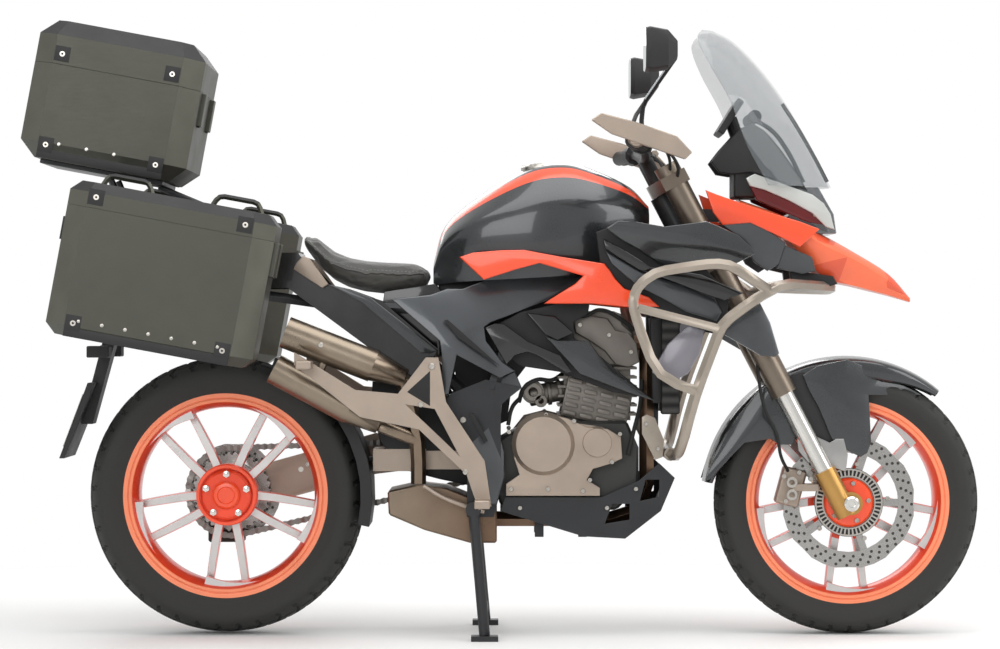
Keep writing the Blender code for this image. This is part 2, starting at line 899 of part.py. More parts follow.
rim_width_share = 0.84
hub_width_share = 1.15
hub_bell_share = 0.85


def rear_lugs():
    """the five wheel nuts and the centre cap on the open right side"""
    face = -spoke_depth * hub_width_share
    nuts = []
    for index in range(lug_count):
        angle = 2 * math.pi * index / lug_count
        place = Vector((lug_circle_radius * math.cos(angle), face + overrun, lug_circle_radius * math.sin(angle)))
        nuts.append(rod(place, place - Vector((0, lug_height + overrun, 0)), lug_radius, 6))
    nuts.append(rod((0, face + overrun, 0), (0, face - hub_cap_height, 0), hub_cap_radius, 20))
    return nuts


def make_rear_wheel():
    piece("rear_tyre", tyre(rear_tyre_radius, rear_tyre_width, rear_axle), "tyre_rubber", rear_wheel)
    rim_width = rear_tyre_width * rim_width_share
    face = spoke_depth * hub_width_share
    shape = rim(rear_axle, rim_width, rear_hub_radius, -face, face, 0, spoke_tip_spread, rear_lugs())
    piece("rear_rim", shape, "wheel_red", rear_wheel)


def sprocket_radius(teeth):
    return chain_pitch / (2 * math.sin(math.pi / teeth))


def sprocket(teeth, y_low, y_high):
    """a toothed plate that stops just inside the chain's inner edge"""
    tip = sprocket_radius(teeth) - chain_height / 2 - sprocket_tip_gap
    points = []
    for step in range(teeth * 2):
        angle = math.pi * step / teeth
        radius = tip if step % 2 else tip - chain_height * tooth_depth_share
        points.append((radius * math.cos(angle), radius * math.sin(angle)))
    return prism(points, y_low, y_high)


tooth_depth_share = 0.35


def make_rear_hub():
    """sprocket, axle and brake disc, which turn with the rear wheel on its left"""
    nave = Vector((0, 0, 0))
    wheel_face = spoke_depth * hub_width_share + seat_gap
    low = chain_y - sprocket_thickness / 2
    high = chain_y + sprocket_thickness / 2
    disc_low = rear_disc_y - disc_thickness / 2
    disc_high = rear_disc_y + disc_thickness / 2
    carrier = turned([
        (0, wheel_face), (rear_hub_radius, wheel_face), (rear_hub_radius, low + overrun / 4),
        (rear_hub_radius * hub_cone_share, high + overrun / 2), (rear_axle_radius, high + overrun / 2),
        (rear_axle_radius, disc_low - overrun / 2), (rear_axle_radius * hub_nut_share, disc_low - overrun / 2),
        (rear_axle_radius * hub_nut_share, disc_high + overrun), (0, disc_high + overrun),
    ], tyre_steps // 2, nave)
    parts = [carrier, sprocket(rear_sprocket_teeth, low, high)]
    parts.append(scalloped_disc(rear_disc_radius, rear_disc_inner_radius, disc_low, disc_high))
    parts += disc_arms(rear_disc_inner_radius, rear_axle_radius, disc_low, disc_high)
    shape = fused(parts)
    bmesh.ops.translate(shape, verts=shape.verts, vec=rear_axle)
    piece("rear_hub", shape, "steel", rear_wheel)


hub_nut_share = 1.6


def belt_points(first, first_radius, second, second_radius):
    """places and outward directions, one half pitch apart, round two sprockets"""
    run = second - first
    lean = math.atan2(run.y, run.x)
    spread = math.acos((first_radius - second_radius) / run.length)
    straight = math.sqrt(run.length ** 2 - (first_radius - second_radius) ** 2)
    first_arc = first_radius * (2 * math.pi - 2 * spread)
    second_arc = second_radius * 2 * spread
    total = first_arc + second_arc + 2 * straight
    count = 2 * round(total / chain_pitch)
    count += count % 4
    for index in range(count):
        way = total * index / count
        if way < first_arc:
            angle = lean + spread + way / first_radius
            out = Vector((math.cos(angle), math.sin(angle)))
            yield first + out * first_radius, out
        elif way < first_arc + straight:
            angle = lean - spread
            out = Vector((math.cos(angle), math.sin(angle)))
            along = Vector((-out.y, out.x))
            yield first + out * first_radius + along * (way - first_arc), out
        elif way < first_arc + straight + second_arc:
            angle = lean - spread + (way - first_arc - straight) / second_radius
            out = Vector((math.cos(angle), math.sin(angle)))
            yield second + out * second_radius, out
        else:
            angle = lean + spread
            out = Vector((math.cos(angle), math.sin(angle)))
            along = Vector((-out.y, out.x))
            yield second + out * second_radius + along * (way - first_arc - straight - second_arc), out


def make_chain():
    """a closed loop of links: waisted between the pins, inner and outer links in turn"""
    first = Vector((rear_axle.x, rear_axle.z))
    second = Vector((drive_x, drive_z))
    stations = list(belt_points(first, sprocket_radius(rear_sprocket_teeth),
                                second, sprocket_radius(front_sprocket_teeth)))
    bm = bmesh.new()
    rings = []
    for index, (place, out) in enumerate(stations):
        at_pin = index % 2 == 0
        half = chain_height / 2 * (1 if at_pin else link_waist_share)
        wide = chain_width / 2 * (1 if index % 4 < 2 else inner_link_share)
        ring = []
        for away, side in ((-half, -wide), (half, -wide), (half, wide), (-half, wide)):
            point = place + out * away
            ring.append(bm.verts.new((point.x, chain_y + side, point.y)))
        rings.append(ring)
    for ring, following in zip(rings, rings[1:] + rings[:1]):
        for index in range(4):
            after = (index + 1) % 4
            bm.faces.new((ring[index], ring[after], following[after], following[index]))
    piece("chain", bm, "steel", motorcycle)


link_waist_share = 0.72
inner_link_share = 0.82


# Frame: steering head, spars, down tube, pivot plates and subframe
def tank_floor_at(x):
    """the height of the tank's underside at a place along the bike"""
    share = (x - tank_rear_x) / tank_length
    for near, far in zip(tank_sections, tank_sections[1:]):
        if near[0] <= share <= far[0]:
            across = (share - near[0]) / (far[0] - near[0])
            return tank_floor_z + tank_height * (near[1] + (far[1] - near[1]) * across)
    return tank_floor_z


pivot_plate_shares = [
    (0.00, 0.771), (0.129, 0.899), (0.564, 1.00), (1.00, 0.948), (0.754, 0.814),
    (0.754, 0.438), (0.804, 0.307), (0.665, 0.00), (0.330, 0.00), (0.335, 0.395),
]


def make_frame():
    head_low = steering_head - steering_up * steering_head_length / 2
    head_high = steering_head + steering_up * steering_head_length / 2
    head = rod(head_low, head_high, steering_head_radius, 20)
    bore = rod(head_low - steering_up * overrun, head_high + steering_up * overrun,
               stem_radius + running_gap / 4, 16)
    parts = [head]
    inner = pivot_plate_y - pivot_plate_thickness
    plate_points = outline(pivot_plate_x, pivot_plate_z, pivot_plate_length, pivot_plate_height,
                           pivot_plate_shares)
    rail = subframe_half_width
    for side in (-1, 1):
        low, high = sorted((side * inner, side * pivot_plate_y))
        parts.append(prism(plate_points, low, high))
        low, high = sorted((side * rail, side * (rail + rear_tube_radius + cover_mount_reach)))
        parts.append(block(cover_mount_x - cover_mount_half, cover_mount_x + cover_mount_half, low, high,
                           rail_mid_z - cover_mount_half, rail_mid_z + cover_mount_half))
        shoulder = Vector((spar_rear_x, side * (inner + pivot_plate_thickness / 2), spar_rear_z))
        neck = head_low + steering_up * steering_head_length * spar_neck_share
        neck.y = side * stem_radius
        parts.append(tube([neck, Vector((spar_bend_x, side * spar_half_width, spar_bend_z)), shoulder],
                          frame_tube_radius, spar_corner))
        parts.append(tube([
            Vector((spar_bend_x, side * spar_half_width, spar_bend_z)),
            Vector((rail_front_x, side * rail, rail_front_z)), Vector((rail_mid_x, side * rail, rail_mid_z)),
            Vector((rail_kick_x, side * rail, rail_kick_z)), Vector((rail_rear_x, side * rail, rail_rear_z)),
        ], rear_tube_radius, rail_corner))
        parts.append(tube([
            Vector((strut_low_x, side * (inner + pivot_plate_thickness / 2), strut_low_z)),
            Vector((strut_mid_x, side * rail, strut_mid_z)), Vector((rail_kick_x, side * rail, rail_kick_z)),
        ], rear_tube_radius, rail_corner))
    for x, z in ((cross_upper_x, cross_upper_z), (cross_lower_x, cross_lower_z)):
        parts.append(rod((x, -inner - overrun, z), (x, inner + overrun, z), rear_tube_radius * cross_tube_share))
    for x, z in ((rail_mid_x, rail_mid_z), (rail_rear_x + rear_tube_radius, rail_rear_z)):
        parts.append(rod((x, -rail, z), (x, rail, z), rear_tube_radius * cross_tube_share))
    parts.append(tube([head_low + steering_up * steering_head_radius, Vector((down_tube_x, 0, down_bend_z)),
                       Vector((down_tube_x, 0, crash_low_z - crash_bar_radius / 2))],
                      frame_tube_radius, spar_corner))
    parts.append(rod((spar_bend_x, -spar_half_width, spar_bend_z), (spar_bend_x, spar_half_width, spar_bend_z),
                     rear_tube_radius * cross_tube_share))
    mount_rear = spar_bend_x - tank_mount_length / 2
    mount_front = spar_bend_x + tank_mount_length / 2
    parts.append(prism([
        (mount_rear, spar_bend_z), (mount_front, spar_bend_z),
        (mount_front, tank_floor_at(mount_front) - seat_gap), (mount_rear, tank_floor_at(mount_rear) - seat_gap),
    ], -tank_mount_half_width, tank_mount_half_width))
    parts.append(block(down_tube_x, crash_lower_x - crash_pad_reach - seat_gap, -crash_pad_half_width,
                       crash_pad_half_width, crash_low_z - crash_bar_radius, crash_low_z + crash_bar_radius))
    nose_end = beak_rear_x + beak_length * beak_sections[0][0] - seat_gap
    parts.append(block(steering_head.x, nose_end, -nose_bracket_half_width, nose_bracket_half_width,
                       nose_bracket_z, nose_bracket_z + nose_bracket_height))
    shape = cut(fused(parts), [bore])
    piece("frame", shape, "frame_dark", motorcycle)


def make_engine():
    rear = engine_rear_x
    left = engine_left_y
    right = -engine_half_width
    case_points = outline(rear, engine_floor_z, engine_length, engine_height, engine_shares)
    crankcase = softened(prism(case_points, right, left), engine_edge)
    cover = rod((alternator_x, left - overrun, alternator_z), (alternator_x, left + alternator_depth, alternator_z),
                alternator_radius, 24, alternator_radius * cover_taper_share)
    tip = sprocket_radius(front_sprocket_teeth) - chain_height / 2 - sprocket_tip_gap
    shaft = rod((drive_x, left - overrun, drive_z), (drive_x, chain_y + sprocket_thickness / 2, drive_z), tip, 20)
    plate_inner = pivot_plate_y - pivot_plate_thickness - seat_gap
    lugs = [rod((engine_lug_x, right + overrun, engine_lug_z), (engine_lug_x, -plate_inner, engine_lug_z),
                engine_lug_radius), rod((engine_lug_x, left - overrun, engine_lug_z),
                                        (engine_lug_x, plate_inner, engine_lug_z), engine_lug_radius)]
    piece("engine_block", fused([crankcase, cover, shaft] + lugs), "frame_dark", motorcycle)
    make_cylinder()
    face = right - seat_gap
    cover = turned([
        (0, face), (clutch_radius, face), (clutch_radius, face - clutch_depth * 0.6),
        (clutch_radius * cover_taper_share, face - clutch_depth), (0, face - clutch_depth),
    ], 32, Vector((clutch_x, 0, clutch_z)))
    small = turned([
        (0, face), (small_cover_radius, face), (small_cover_radius, face - clutch_depth * 0.5),
        (small_cover_radius * cover_taper_share, face - clutch_depth * 0.7), (0, face - clutch_depth * 0.7),
    ], 24, Vector((small_cover_x, 0, small_cover_z)))
    web = prism([
        (clutch_x, clutch_z - clutch_radius * 0.8), (small_cover_x, small_cover_z - small_cover_radius),
        (small_cover_x, small_cover_z + small_cover_radius), (clutch_x, clutch_z + clutch_radius * 0.8),
    ], face - clutch_depth * 0.4, face - overrun / 8)
    piece("clutch_cover", fused([cover, small, web]), "champagne", motorcycle)


def make_cylinder():
    """the finned cylinder and its head, standing on the crankcase"""
    floor = engine_floor_z + engine_height + seat_gap
    half = cylinder_length / 2
    barrel = block(cylinder_x - half, cylinder_x + half, -cylinder_half_width, cylinder_half_width,
                   floor, floor + cylinder_height)
    parts = [barrel]
    for index in range(fin_count):
        low = floor + cylinder_height * (index + 0.5) / fin_count
        parts.append(block(cylinder_x - half - fin_reach, cylinder_x + half + fin_reach,
                           -cylinder_half_width - fin_reach, cylinder_half_width + fin_reach,
                           low, low + fin_thickness))
    reach = head_length / 2
    head_low = floor + cylinder_height - overrun
    head = prism(outline(cylinder_x - reach, head_low, head_length, head_height, head_shares),
                 -head_half_width, head_half_width)
    parts.append(softened(head, engine_edge))
    piece("engine_cylinder", fused(parts), "frame_dark", motorcycle)


def make_radiator():
    low = radiator_z
    radiator_x = down_tube_x + frame_tube_radius + seat_gap + radiator_thickness / 2
    core = block(radiator_x - radiator_thickness / 2, radiator_x + radiator_thickness / 2,
                 -radiator_half_width * 0.86, radiator_half_width * 0.86, low, low + radiator_height)
    parts = [core]
    for side in (-1, 1):
        near, far = sorted((side * radiator_half_width * 0.84, side * radiator_half_width))
        tank = block(radiator_x - radiator_thickness * 0.6, radiator_x + radiator_thickness * 0.6,
                     near, far, low - overrun, low + radiator_height + overrun)
        parts.append(softened(tank, seat_gap * 10))
        ear_z = low + radiator_height - overrun
        parts.append(rod((radiator_x, near, ear_z), (radiator_x, far, ear_z), overrun, 10))
        parts.append(rod((radiator_x, side * (radiator_half_width - overrun), ear_z),
                         (radiator_x, side * (fairing_y - fairing_thickness - seat_gap), ear_z), overrun, 10))
    piece("radiator", fused(parts), "matt_black", motorcycle)


def make_bash_plate():
    """a bent plate under the engine, open at the top"""
    outer = outline(bash_rear_x, bash_floor_z, bash_length, bash_height, bash_shares)
    inner = outline(bash_rear_x, bash_floor_z + bash_wall, bash_length, bash_height, bash_inner_shares)
    shell = prism(outer, -bash_half_width, bash_half_width)
    hollow = prism(inner, bash_wall - bash_half_width, bash_half_width - bash_wall)
    windows = []
    for u, v, wide, high in bash_window_shares:
        x = bash_rear_x + bash_length * u
        z = bash_floor_z + bash_height * v
        windows.append(prism([
            (x, z), (x + bash_length * wide, z + bash_height * high * 0.2),
            (x + bash_length * wide, z + bash_height * high), (x + bash_length * wide * 0.3, z + bash_height * high),
        ], -bash_half_width - overrun, bash_half_width + overrun))
    slot_half = header_radius + running_gap
    slot = block(bash_rear_x - overrun, bash_rear_x + bash_length * bash_slot_share,
                 header_y - slot_half, header_y + slot_half, bash_floor_z - overrun, bash_floor_z + bash_height)
    shape = cut(shell, [hollow, slot] + windows)
    posts = []
    for along in bash_post_shares:
        x = bash_rear_x + bash_length * along
        for side in (-1, 1):
            near, far = sorted((side * engine_left_y * 0.78, side * engine_left_y * 0.94))
            posts.append(block(x, x + overrun * 5, near, far, bash_floor_z + bash_wall / 4,
                               engine_floor_z - seat_gap))
    piece("bash_plate", fused([shape] + posts), "champagne", motorcycle)


def make_exhaust():
    """the header from the cylinder head, and the box under the engine"""
    box_points = outline(box_rear_x, box_floor_z, box_length, box_height, box_shares)
    box = softened(prism(box_points, box_right_y, box_left_y), overrun)
    front = box_rear_x + box_length
    port_x = cylinder_x + head_length / 2 + seat_gap
    header = tube([
        Vector((port_x, header_y, port_z)), Vector((header_front_x, header_y, port_z)),
        Vector((header_front_x, header_y, header_floor_z)), Vector((front - overrun, header_y, header_floor_z)),
    ], header_radius, header_corner)
    piece("exhaust", fused([box, header]), "bronze_steel", motorcycle)


def make_silencers():
    """two stacked barrels with a cone each, joined to the pipe from the box"""
    parts = []
    ends = []
    for rear_x, rear_z, front_x, front_z, radius in (
        (upper_rear_x, upper_rear_z, upper_front_x, upper_front_z, silencer_upper_radius),
        (lower_rear_x, lower_rear_z, lower_front_x, lower_front_z, silencer_lower_radius),
    ):
        rear = Vector((rear_x, silencer_y, rear_z))
        front = Vector((front_x, silencer_y, front_z))
        along = (front - rear).normalized()
        barrel = rod(rear, front, radius, 20)
        mouth = rod(rear - along * overrun, rear + along * radius, radius - silencer_wall, 20)
        outlet = rod(rear + along * radius * 0.4, rear + along * radius * 1.2, radius * 0.4, 14)
        cone_end = front + along * silencer_cone_length
        cone = rod(front - along * overrun, cone_end, radius * 0.97, 16, header_radius)
        ends.append(cone_end - along * overrun)
        parts.append(cut(barrel, [mouth]))
        parts.append(outlet)
        parts.append(cone)
    top, low = ends
    foot = Vector((pipe_foot_x, pipe_foot_y, box_floor_z + box_height + seat_gap))
    bend = Vector((pipe_foot_x, pipe_foot_y, pipe_bend_z))
    parts.append(tube([foot, bend, top], header_radius * 0.9, header_corner))
    parts.append(tube([bend, low], header_radius * 0.8, header_corner))
    hanger_x = (upper_rear_x + upper_front_x) / 2
    hanger_z = (upper_rear_z + upper_front_z) / 2
    parts.append(rod((hanger_x, silencer_y, hanger_z), ((lower_rear_x + lower_front_x) / 2, silencer_y,
                     (lower_rear_z + lower_front_z) / 2), header_radius * 0.5, 8))
    piece("silencers", fused(parts), "bronze_steel", motorcycle)


def make_footrests():
    """cast side plates on stand-offs, with the rider's and the passenger's pegs"""
    outer = footrest_plate_y - footrest_plate_thickness
    plate = prism(outline(footrest_x, footrest_z, footrest_length, footrest_height, footrest_shares),
                  outer, footrest_plate_y)
    window = prism(outline(footrest_x, footrest_z, footrest_length, footrest_height, footrest_window_shares),
                   outer - overrun, footrest_plate_y + overrun)
    parts = [cut(plate, [window])]
    for x, z in ((footrest_bolt_x, footrest_bolt_z), (footrest_top_x, footrest_top_z)):
        carried_by = pivot_plate_y if x > pivot_plate_x else subframe_half_width + rear_tube_radius
        reach = carried_by + seat_gap
        parts.append(rod((x, -reach, z), (x, footrest_plate_y - overrun, z), stand_off_radius, 12))
    for x, z in ((rider_peg_x, rider_peg_z), (passenger_peg_x, passenger_peg_z)):
        parts.append(softened(block(x - peg_width / 2, x + peg_width / 2, outer - peg_length, outer + overrun,
                                    z - peg_height / 2, z + peg_height / 2), overrun / 2))
    both_sides("footrest", fused(parts), "champagne", motorcycle)


def make_swingarm():
    """a single-sided arm on the left, through the chain's loop to the wheel's hub"""
    inner = pivot_plate_y - pivot_plate_thickness - seat_gap
    low = swingarm_y - swingarm_width / 2
    high = swingarm_y + swingarm_width / 2
    block_rear = rear_tyre_radius + hugger_gap + hugger_thickness + seat_gap
    block_front = block_rear + arm_block_length
    block_low = swingarm_pivot_z - arm_block_height / 2
    block_high = swingarm_pivot_z + arm_block_height / 2
    parts = [rod((swingarm_pivot_x, -inner, swingarm_pivot_z), (swingarm_pivot_x, inner, swingarm_pivot_z),
                 frame_tube_radius, 16)]
    parts.append(block(block_rear, block_front, -arm_inner_half_width, high, block_low, block_high))
    beam_low = block_low + overrun
    beam_high = block_high - overrun
    parts.append(block(block_front - overrun, swingarm_pivot_x, -arm_inner_half_width, arm_inner_half_width,
                       beam_low, beam_high))
    arm_points = [
        (block_front, block_low), (block_front, block_high), (block_rear, block_high + arm_rise),
        (swingarm_hub_radius * 0.5, rear_axle.z + swingarm_hub_radius * 0.85),
        (0, rear_axle.z - swingarm_hub_radius * 0.85), (block_rear, block_low - arm_rise / 2),
    ]
    parts.append(prism(arm_points, low, high))
    parts.append(rod((0, low - overrun / 4, rear_axle.z), (0, high + overrun / 4, rear_axle.z),
                     swingarm_hub_radius, 28))
    bore = rod((0, low - overrun, rear_axle.z), (0, high + overrun, rear_axle.z),
               rear_axle_radius + seat_gap * 2, 28)
    piece("swingarm", cut(fused(parts), [bore]), "champagne", motorcycle)


def make_rear_caliper():
    """a caliper that straddles the disc below the axle, on the arm's hub"""
    angle = caliper_angle
    reach = rear_disc_radius - caliper_height * 0.3
    x = reach * math.cos(angle)
    z = rear_axle.z + reach * math.sin(angle)
    body = block(x - caliper_length / 2, x + caliper_length / 2, rear_disc_y - caliper_half_width,
                 rear_disc_y + caliper_half_width, z - caliper_height / 2, z + caliper_height / 2)
    slot = ring_plate(rear_disc_radius + overrun, rear_axle_radius, rear_disc_y - disc_thickness,
                      rear_disc_y + disc_thickness, 48, rear_axle)
    body = cut(softened(body, overrun), [slot])
    high = swingarm_y + swingarm_width / 2 + overrun / 4 + seat_gap
    bracket = block(x - caliper_length * 0.2, x + caliper_length * 0.2, high, rear_disc_y - disc_thickness * 1.5,
                    z, rear_axle.z - swingarm_hub_radius * 0.6)
    piece("rear_caliper", fused([body, bracket]), "frame_dark", motorcycle)


def make_hugger():
    """a curved guard close over the front of the rear tyre"""
    inner = rear_tyre_radius + hugger_gap
    outer = inner + hugger_thickness
    sections = []
    for step in range(hugger_steps + 1):
        angle = hugger_low_angle + (hugger_high_angle - hugger_low_angle) * step / hugger_steps
        out = Vector((math.cos(angle), 0, math.sin(angle)))
        drop = hugger_side_drop
        ring = []
        for radius, y in (
            (inner - drop, -hugger_half_width), (outer, -hugger_half_width), (outer, hugger_half_width),
            (inner - drop, hugger_half_width), (inner - drop, hugger_half_width - hugger_thickness),
            (inner, hugger_half_width - hugger_thickness), (inner, hugger_thickness - hugger_half_width),
            (inner - drop, hugger_thickness - hugger_half_width),
        ):
            ring.append(rear_axle + out * radius + Vector((0, y, 0)))
        sections.append(ring)
    mount_x = math.sqrt((inner + hugger_thickness / 2) ** 2 - (swingarm_pivot_z - rear_axle.z) ** 2)
    bracket = block(mount_x, outer, -hugger_mount_half_width, hugger_mount_half_width,
                    swingarm_pivot_z - hugger_mount_half, swingarm_pivot_z + hugger_mount_half)
    piece("hugger", fused([loft(sections), bracket]), "matt_black", motorcycle)


# Tank, seat and panels
tank_sections = [
    # shares of length, of height at the floor, shoulder and crown, and of half width at floor and shoulder
    (0.00, 0.04, 0.17, 0.23, 0.45, 0.50),
    (0.05, 0.06, 0.36, 0.50, 0.55, 0.60),
    (0.19, 0.08, 0.50, 0.71, 0.78, 0.86),
    (0.43, 0.10, 0.62, 0.95, 0.96, 1.00),
    (0.60, 0.12, 0.66, 1.00, 0.92, 0.97),
    (0.74, 0.17, 0.66, 0.94, 0.78, 0.86),
    (0.91, 0.28, 0.62, 0.81, 0.50, 0.60),
    (1.00, 0.40, 0.58, 0.66, 0.32, 0.38),
]
tank_ring_shares = [
    # across: share of the half width, up: 0 floor, 1 shoulder, 2 crown
    (0.0, 0.0), (1.0, 0.0), (1.06, 0.5), (1.0, 1.0), (0.62, 1.62), (0.30, 1.96), (0.0, 2.0),
]


def ring_between(x, floor, shoulder, crown, floor_half, shoulder_half, shares):
    """one closed section across the bike, mirrored about its middle"""
    half_ring = []
    for across, up in shares:
        if up <= 1:
            z = floor + (shoulder - floor) * up
            half = floor_half + (shoulder_half - floor_half) * up
        else:
            z = shoulder + (crown - shoulder) * (up - 1)
            half = shoulder_half
        half_ring.append((half * across, z))
    right = [(x, -y, z) for y, z in half_ring]
    left = [(x, y, z) for y, z in reversed(half_ring[1:-1])]
    return right + left


def sectioned(x, z, length, height, half_width, table, shares):
    sections = []
    for along, floor, shoulder, crown, floor_half, shoulder_half in table:
        sections.append(ring_between(x + length * along, z + height * floor, z + height * shoulder,
                                     z + height * crown, half_width * floor_half,
                                     half_width * shoulder_half, shares))
    return loft(sections)


def make_tank():
    shape = sectioned(tank_rear_x, tank_floor_z, tank_length, tank_height, tank_half_width,
                      tank_sections, tank_ring_shares)
    piece("tank", shape, "body_grey", motorcycle)


seat_sections = [
    # shares of length, of height at the floor, shoulder and crown, and of half width at floor and shoulder
    (0.00, 0.81, 0.90, 0.97, 0.60, 0.70),
    (0.06, 0.62, 0.88, 1.00, 0.70, 0.85),
    (0.20, 0.22, 0.50, 0.62, 0.84, 1.00),
    (0.42, 0.05, 0.36, 0.51, 0.84, 1.00),
    (0.70, 0.02, 0.36, 0.49, 0.66, 0.86),
    (0.895, 0.10, 0.38, 0.485, 0.46, 0.62),
]


def make_seat():
    length = (tank_rear_x - seat_gap - seat_rear_x) / seat_sections[-1][0]
    shape = sectioned(seat_rear_x, seat_floor_z, length, seat_height, seat_half_width,
                      seat_sections, tank_ring_shares)
    piece("seat", shape, "seat_cover", motorcycle)


def panel(x, z, length, height, shares, y, thickness):
    """a side panel at -Y, its outer edges softened"""
    plate = prism(outline(x, z, length, height, shares), -y, thickness - y)
    return softened(plate, thickness * edge_share)


def make_side_panels():
    both_sides("side_panel", panel(side_panel_x, side_panel_z, side_panel_length, side_panel_height,
                                   side_panel_shares, side_panel_y, panel_thickness), "accent_red", motorcycle)
    cover = panel(mid_cover_x, mid_cover_z, mid_cover_length, mid_cover_height,
                  mid_cover_shares, mid_cover_y, panel_thickness)
    seat = subframe_half_width + rear_tube_radius + cover_mount_reach + seat_gap
    peg = rod((cover_mount_x, -mid_cover_y + panel_thickness / 2, rail_mid_z), (cover_mount_x, -seat, rail_mid_z),
              cover_mount_half * 0.7)
    both_sides("mid_cover", fused([cover, peg]), "body_grey", motorcycle)
    both_sides("fairing", panel(fairing_x, fairing_z, fairing_length, fairing_height, fairing_shares,
                                fairing_y, fairing_thickness), "body_grey", motorcycle)


def make_tail():
    """the tail cowl: two side plates, a deck behind the seat and the closing end"""
    inner = tail_half_width - panel_thickness
    side = prism(outline(tail_x, tail_z, tail_length, tail_height, tail_shares), -tail_half_width, -inner)
    parts = [side, mirrored(side)]
    deck_front = seat_rear_x - seat_gap
    parts.append(block(tail_end_x, deck_front - overrun, -inner - overrun / 4, inner + overrun / 4,
                       deck_z - panel_thickness, deck_z))
    parts.append(block(tail_end_x, tail_end_x + panel_thickness, -inner - overrun / 4, inner + overrun / 4,
                       deck_z - tail_end_height, deck_z - panel_thickness / 2))
    piece("tail_cowl", fused(parts), "gloss_black", motorcycle)
    lamp = softened(block(tail_end_x - lamp_depth, tail_end_x - seat_gap, -inner * 0.8, inner * 0.8,
                          deck_z - tail_end_height * 0.7, deck_z - tail_end_height * 0.2), overrun)
    piece("tail_lamp", lamp, "lamp_red", motorcycle)
    top = Vector((tail_end_x + panel_thickness, 0, deck_z - tail_end_height - seat_gap))
    blade = prism(outline(plate_x, plate_z, plate_length, top.z - plate_z, plate_shares),
                  -plate_half_width * 0.35, plate_half_width * 0.35)
    board = prism(outline(plate_x, plate_z, plate_board_length, plate_height, plate_board_shares),
                  -plate_half_width, plate_half_width)
    parts = [blade, board]
    indicator_x = plate_x + plate_length * indicator_place_share
    for side in (-1, 1):
        parts.append(rod((indicator_x, side * plate_half_width * 0.3, indicator_z),
                         (indicator_x, side * indicator_y, indicator_z), stalk_radius, 8))
        low, high = sorted((side * indicator_y, side * (indicator_y + indicator_width)))
        parts.append(softened(block(indicator_x - indicator_length / 2, indicator_x + indicator_length / 2,
                                    low, high, indicator_z - indicator_height / 2,
                                    indicator_z + indicator_height / 2), overrun / 2))
    piece("plate_holder", fused(parts), "matt_black", motorcycle)


# Nose: beak, headlamp, windscreen and display
beak_sections = [
    # shares of length, of height at the floor, shoulder and crown, and of half width at floor and shoulder
    (0.152, 0.67, 0.79, 0.92, 0.80, 0.95),
    (0.36, 0.57, 0.70, 0.78, 0.85, 1.00),
    (0.55, 0.23, 0.50, 0.62, 0.70, 0.96),
    (0.72, 0.14, 0.36, 0.45, 0.52, 0.74),
    (0.89, 0.06, 0.18, 0.26, 0.30, 0.44),
    (1.00, 0.00, 0.02, 0.04, 0.12, 0.16),
]
beak_ring_shares = [(0.0, 0.0), (1.0, 0.0), (1.0, 1.0), (0.70, 1.75), (0.0, 2.0)]


def lamp_solid(gap):
    """the headlamp's body, grown by a gap where its pocket is cut"""
    headlamp_height = screen_floor_z - screen_thickness / 2 - headlamp_z
    points = outline(headlamp_x - gap, headlamp_z - gap, headlamp_length + 2 * gap,
                     headlamp_height + 2 * gap, headlamp_shares)
    return prism(points, -headlamp_half_width - gap, headlamp_half_width + gap)


def make_nose():
    shape = sectioned(beak_rear_x, beak_floor_z, beak_length, beak_height, beak_half_width,
                      beak_sections, beak_ring_shares)
    piece("beak", cut(shape, [lamp_solid(seat_gap)]), "accent_red", motorcycle)
    piece("headlamp", lamp_solid(0), "lamp_glass", motorcycle)
    make_screen()
    make_display()


screen_rows = [
    # shares of height, of length at the middle and at the side edge, of half width
    (0.00, 1.00, 0.52, 0.80),
    (0.25, 0.86, 0.36, 0.96),
    (0.53, 0.68, 0.24, 1.00),
    (0.76, 0.49, 0.10, 0.92),
    (0.93, 0.30, 0.02, 0.66),
    (1.00, 0.16, 0.06, 0.30),
]


def screen_place(row, across):
    up, middle, edge, half = row
    x = screen_rear_x + screen_length * (edge + (middle - edge) * math.cos(across * math.pi / 2) ** 0.8)
    return Vector((x, screen_half_width * half * across, screen_floor_z + screen_height * up))


def make_screen():
    """a curved sheet, wrapped back at its sides"""
    bm = bmesh.new()
    grid = []
    for row in screen_rows:
        places = [screen_place(row, step / screen_steps) for step in range(-screen_steps, screen_steps + 1)]
        grid.append([bm.verts.new(place) for place in places])
    for low, high in zip(grid, grid[1:]):
        for index in range(len(low) - 1):
            bm.faces.new((low[index], low[index + 1], high[index + 1], high[index]))
    bmesh.ops.recalc_face_normals(bm, faces=bm.faces)
    bmesh.ops.solidify(bm, geom=bm.faces[:], thickness=screen_thickness)
    piece("windscreen", bm, "smoke_screen", motorcycle)


def make_display():
    """the dash housing on the nose and the tilted display on top of it"""
    housing_z = beak_floor_z + beak_height * beak_sections[0][3] + seat_gap
    housing = softened(prism(outline(housing_x, housing_z, housing_length, housing_height, housing_shares),
                             -housing_half_width, housing_half_width), overrun)
    slab = softened(block(-display_thickness / 2, display_thickness / 2, -display_half_width,
                          display_half_width, -display_height / 2, display_height / 2), overrun / 2)
    turn = Matrix.Rotation(display_tilt, 4, "Y")
    bmesh.ops.transform(slab, matrix=Matrix.Translation((display_x, 0, display_z)) @ turn, verts=slab.verts)
    arm = rod((housing_x + housing_length * 0.4, 0, housing_z + housing_height * 0.6),
              (display_x + display_thickness * 0.3, 0, display_z), stalk_radius * 2.5, 12)
    parts = [housing, slab, arm]
    piece("display", fused(parts), "matt_black", motorcycle)


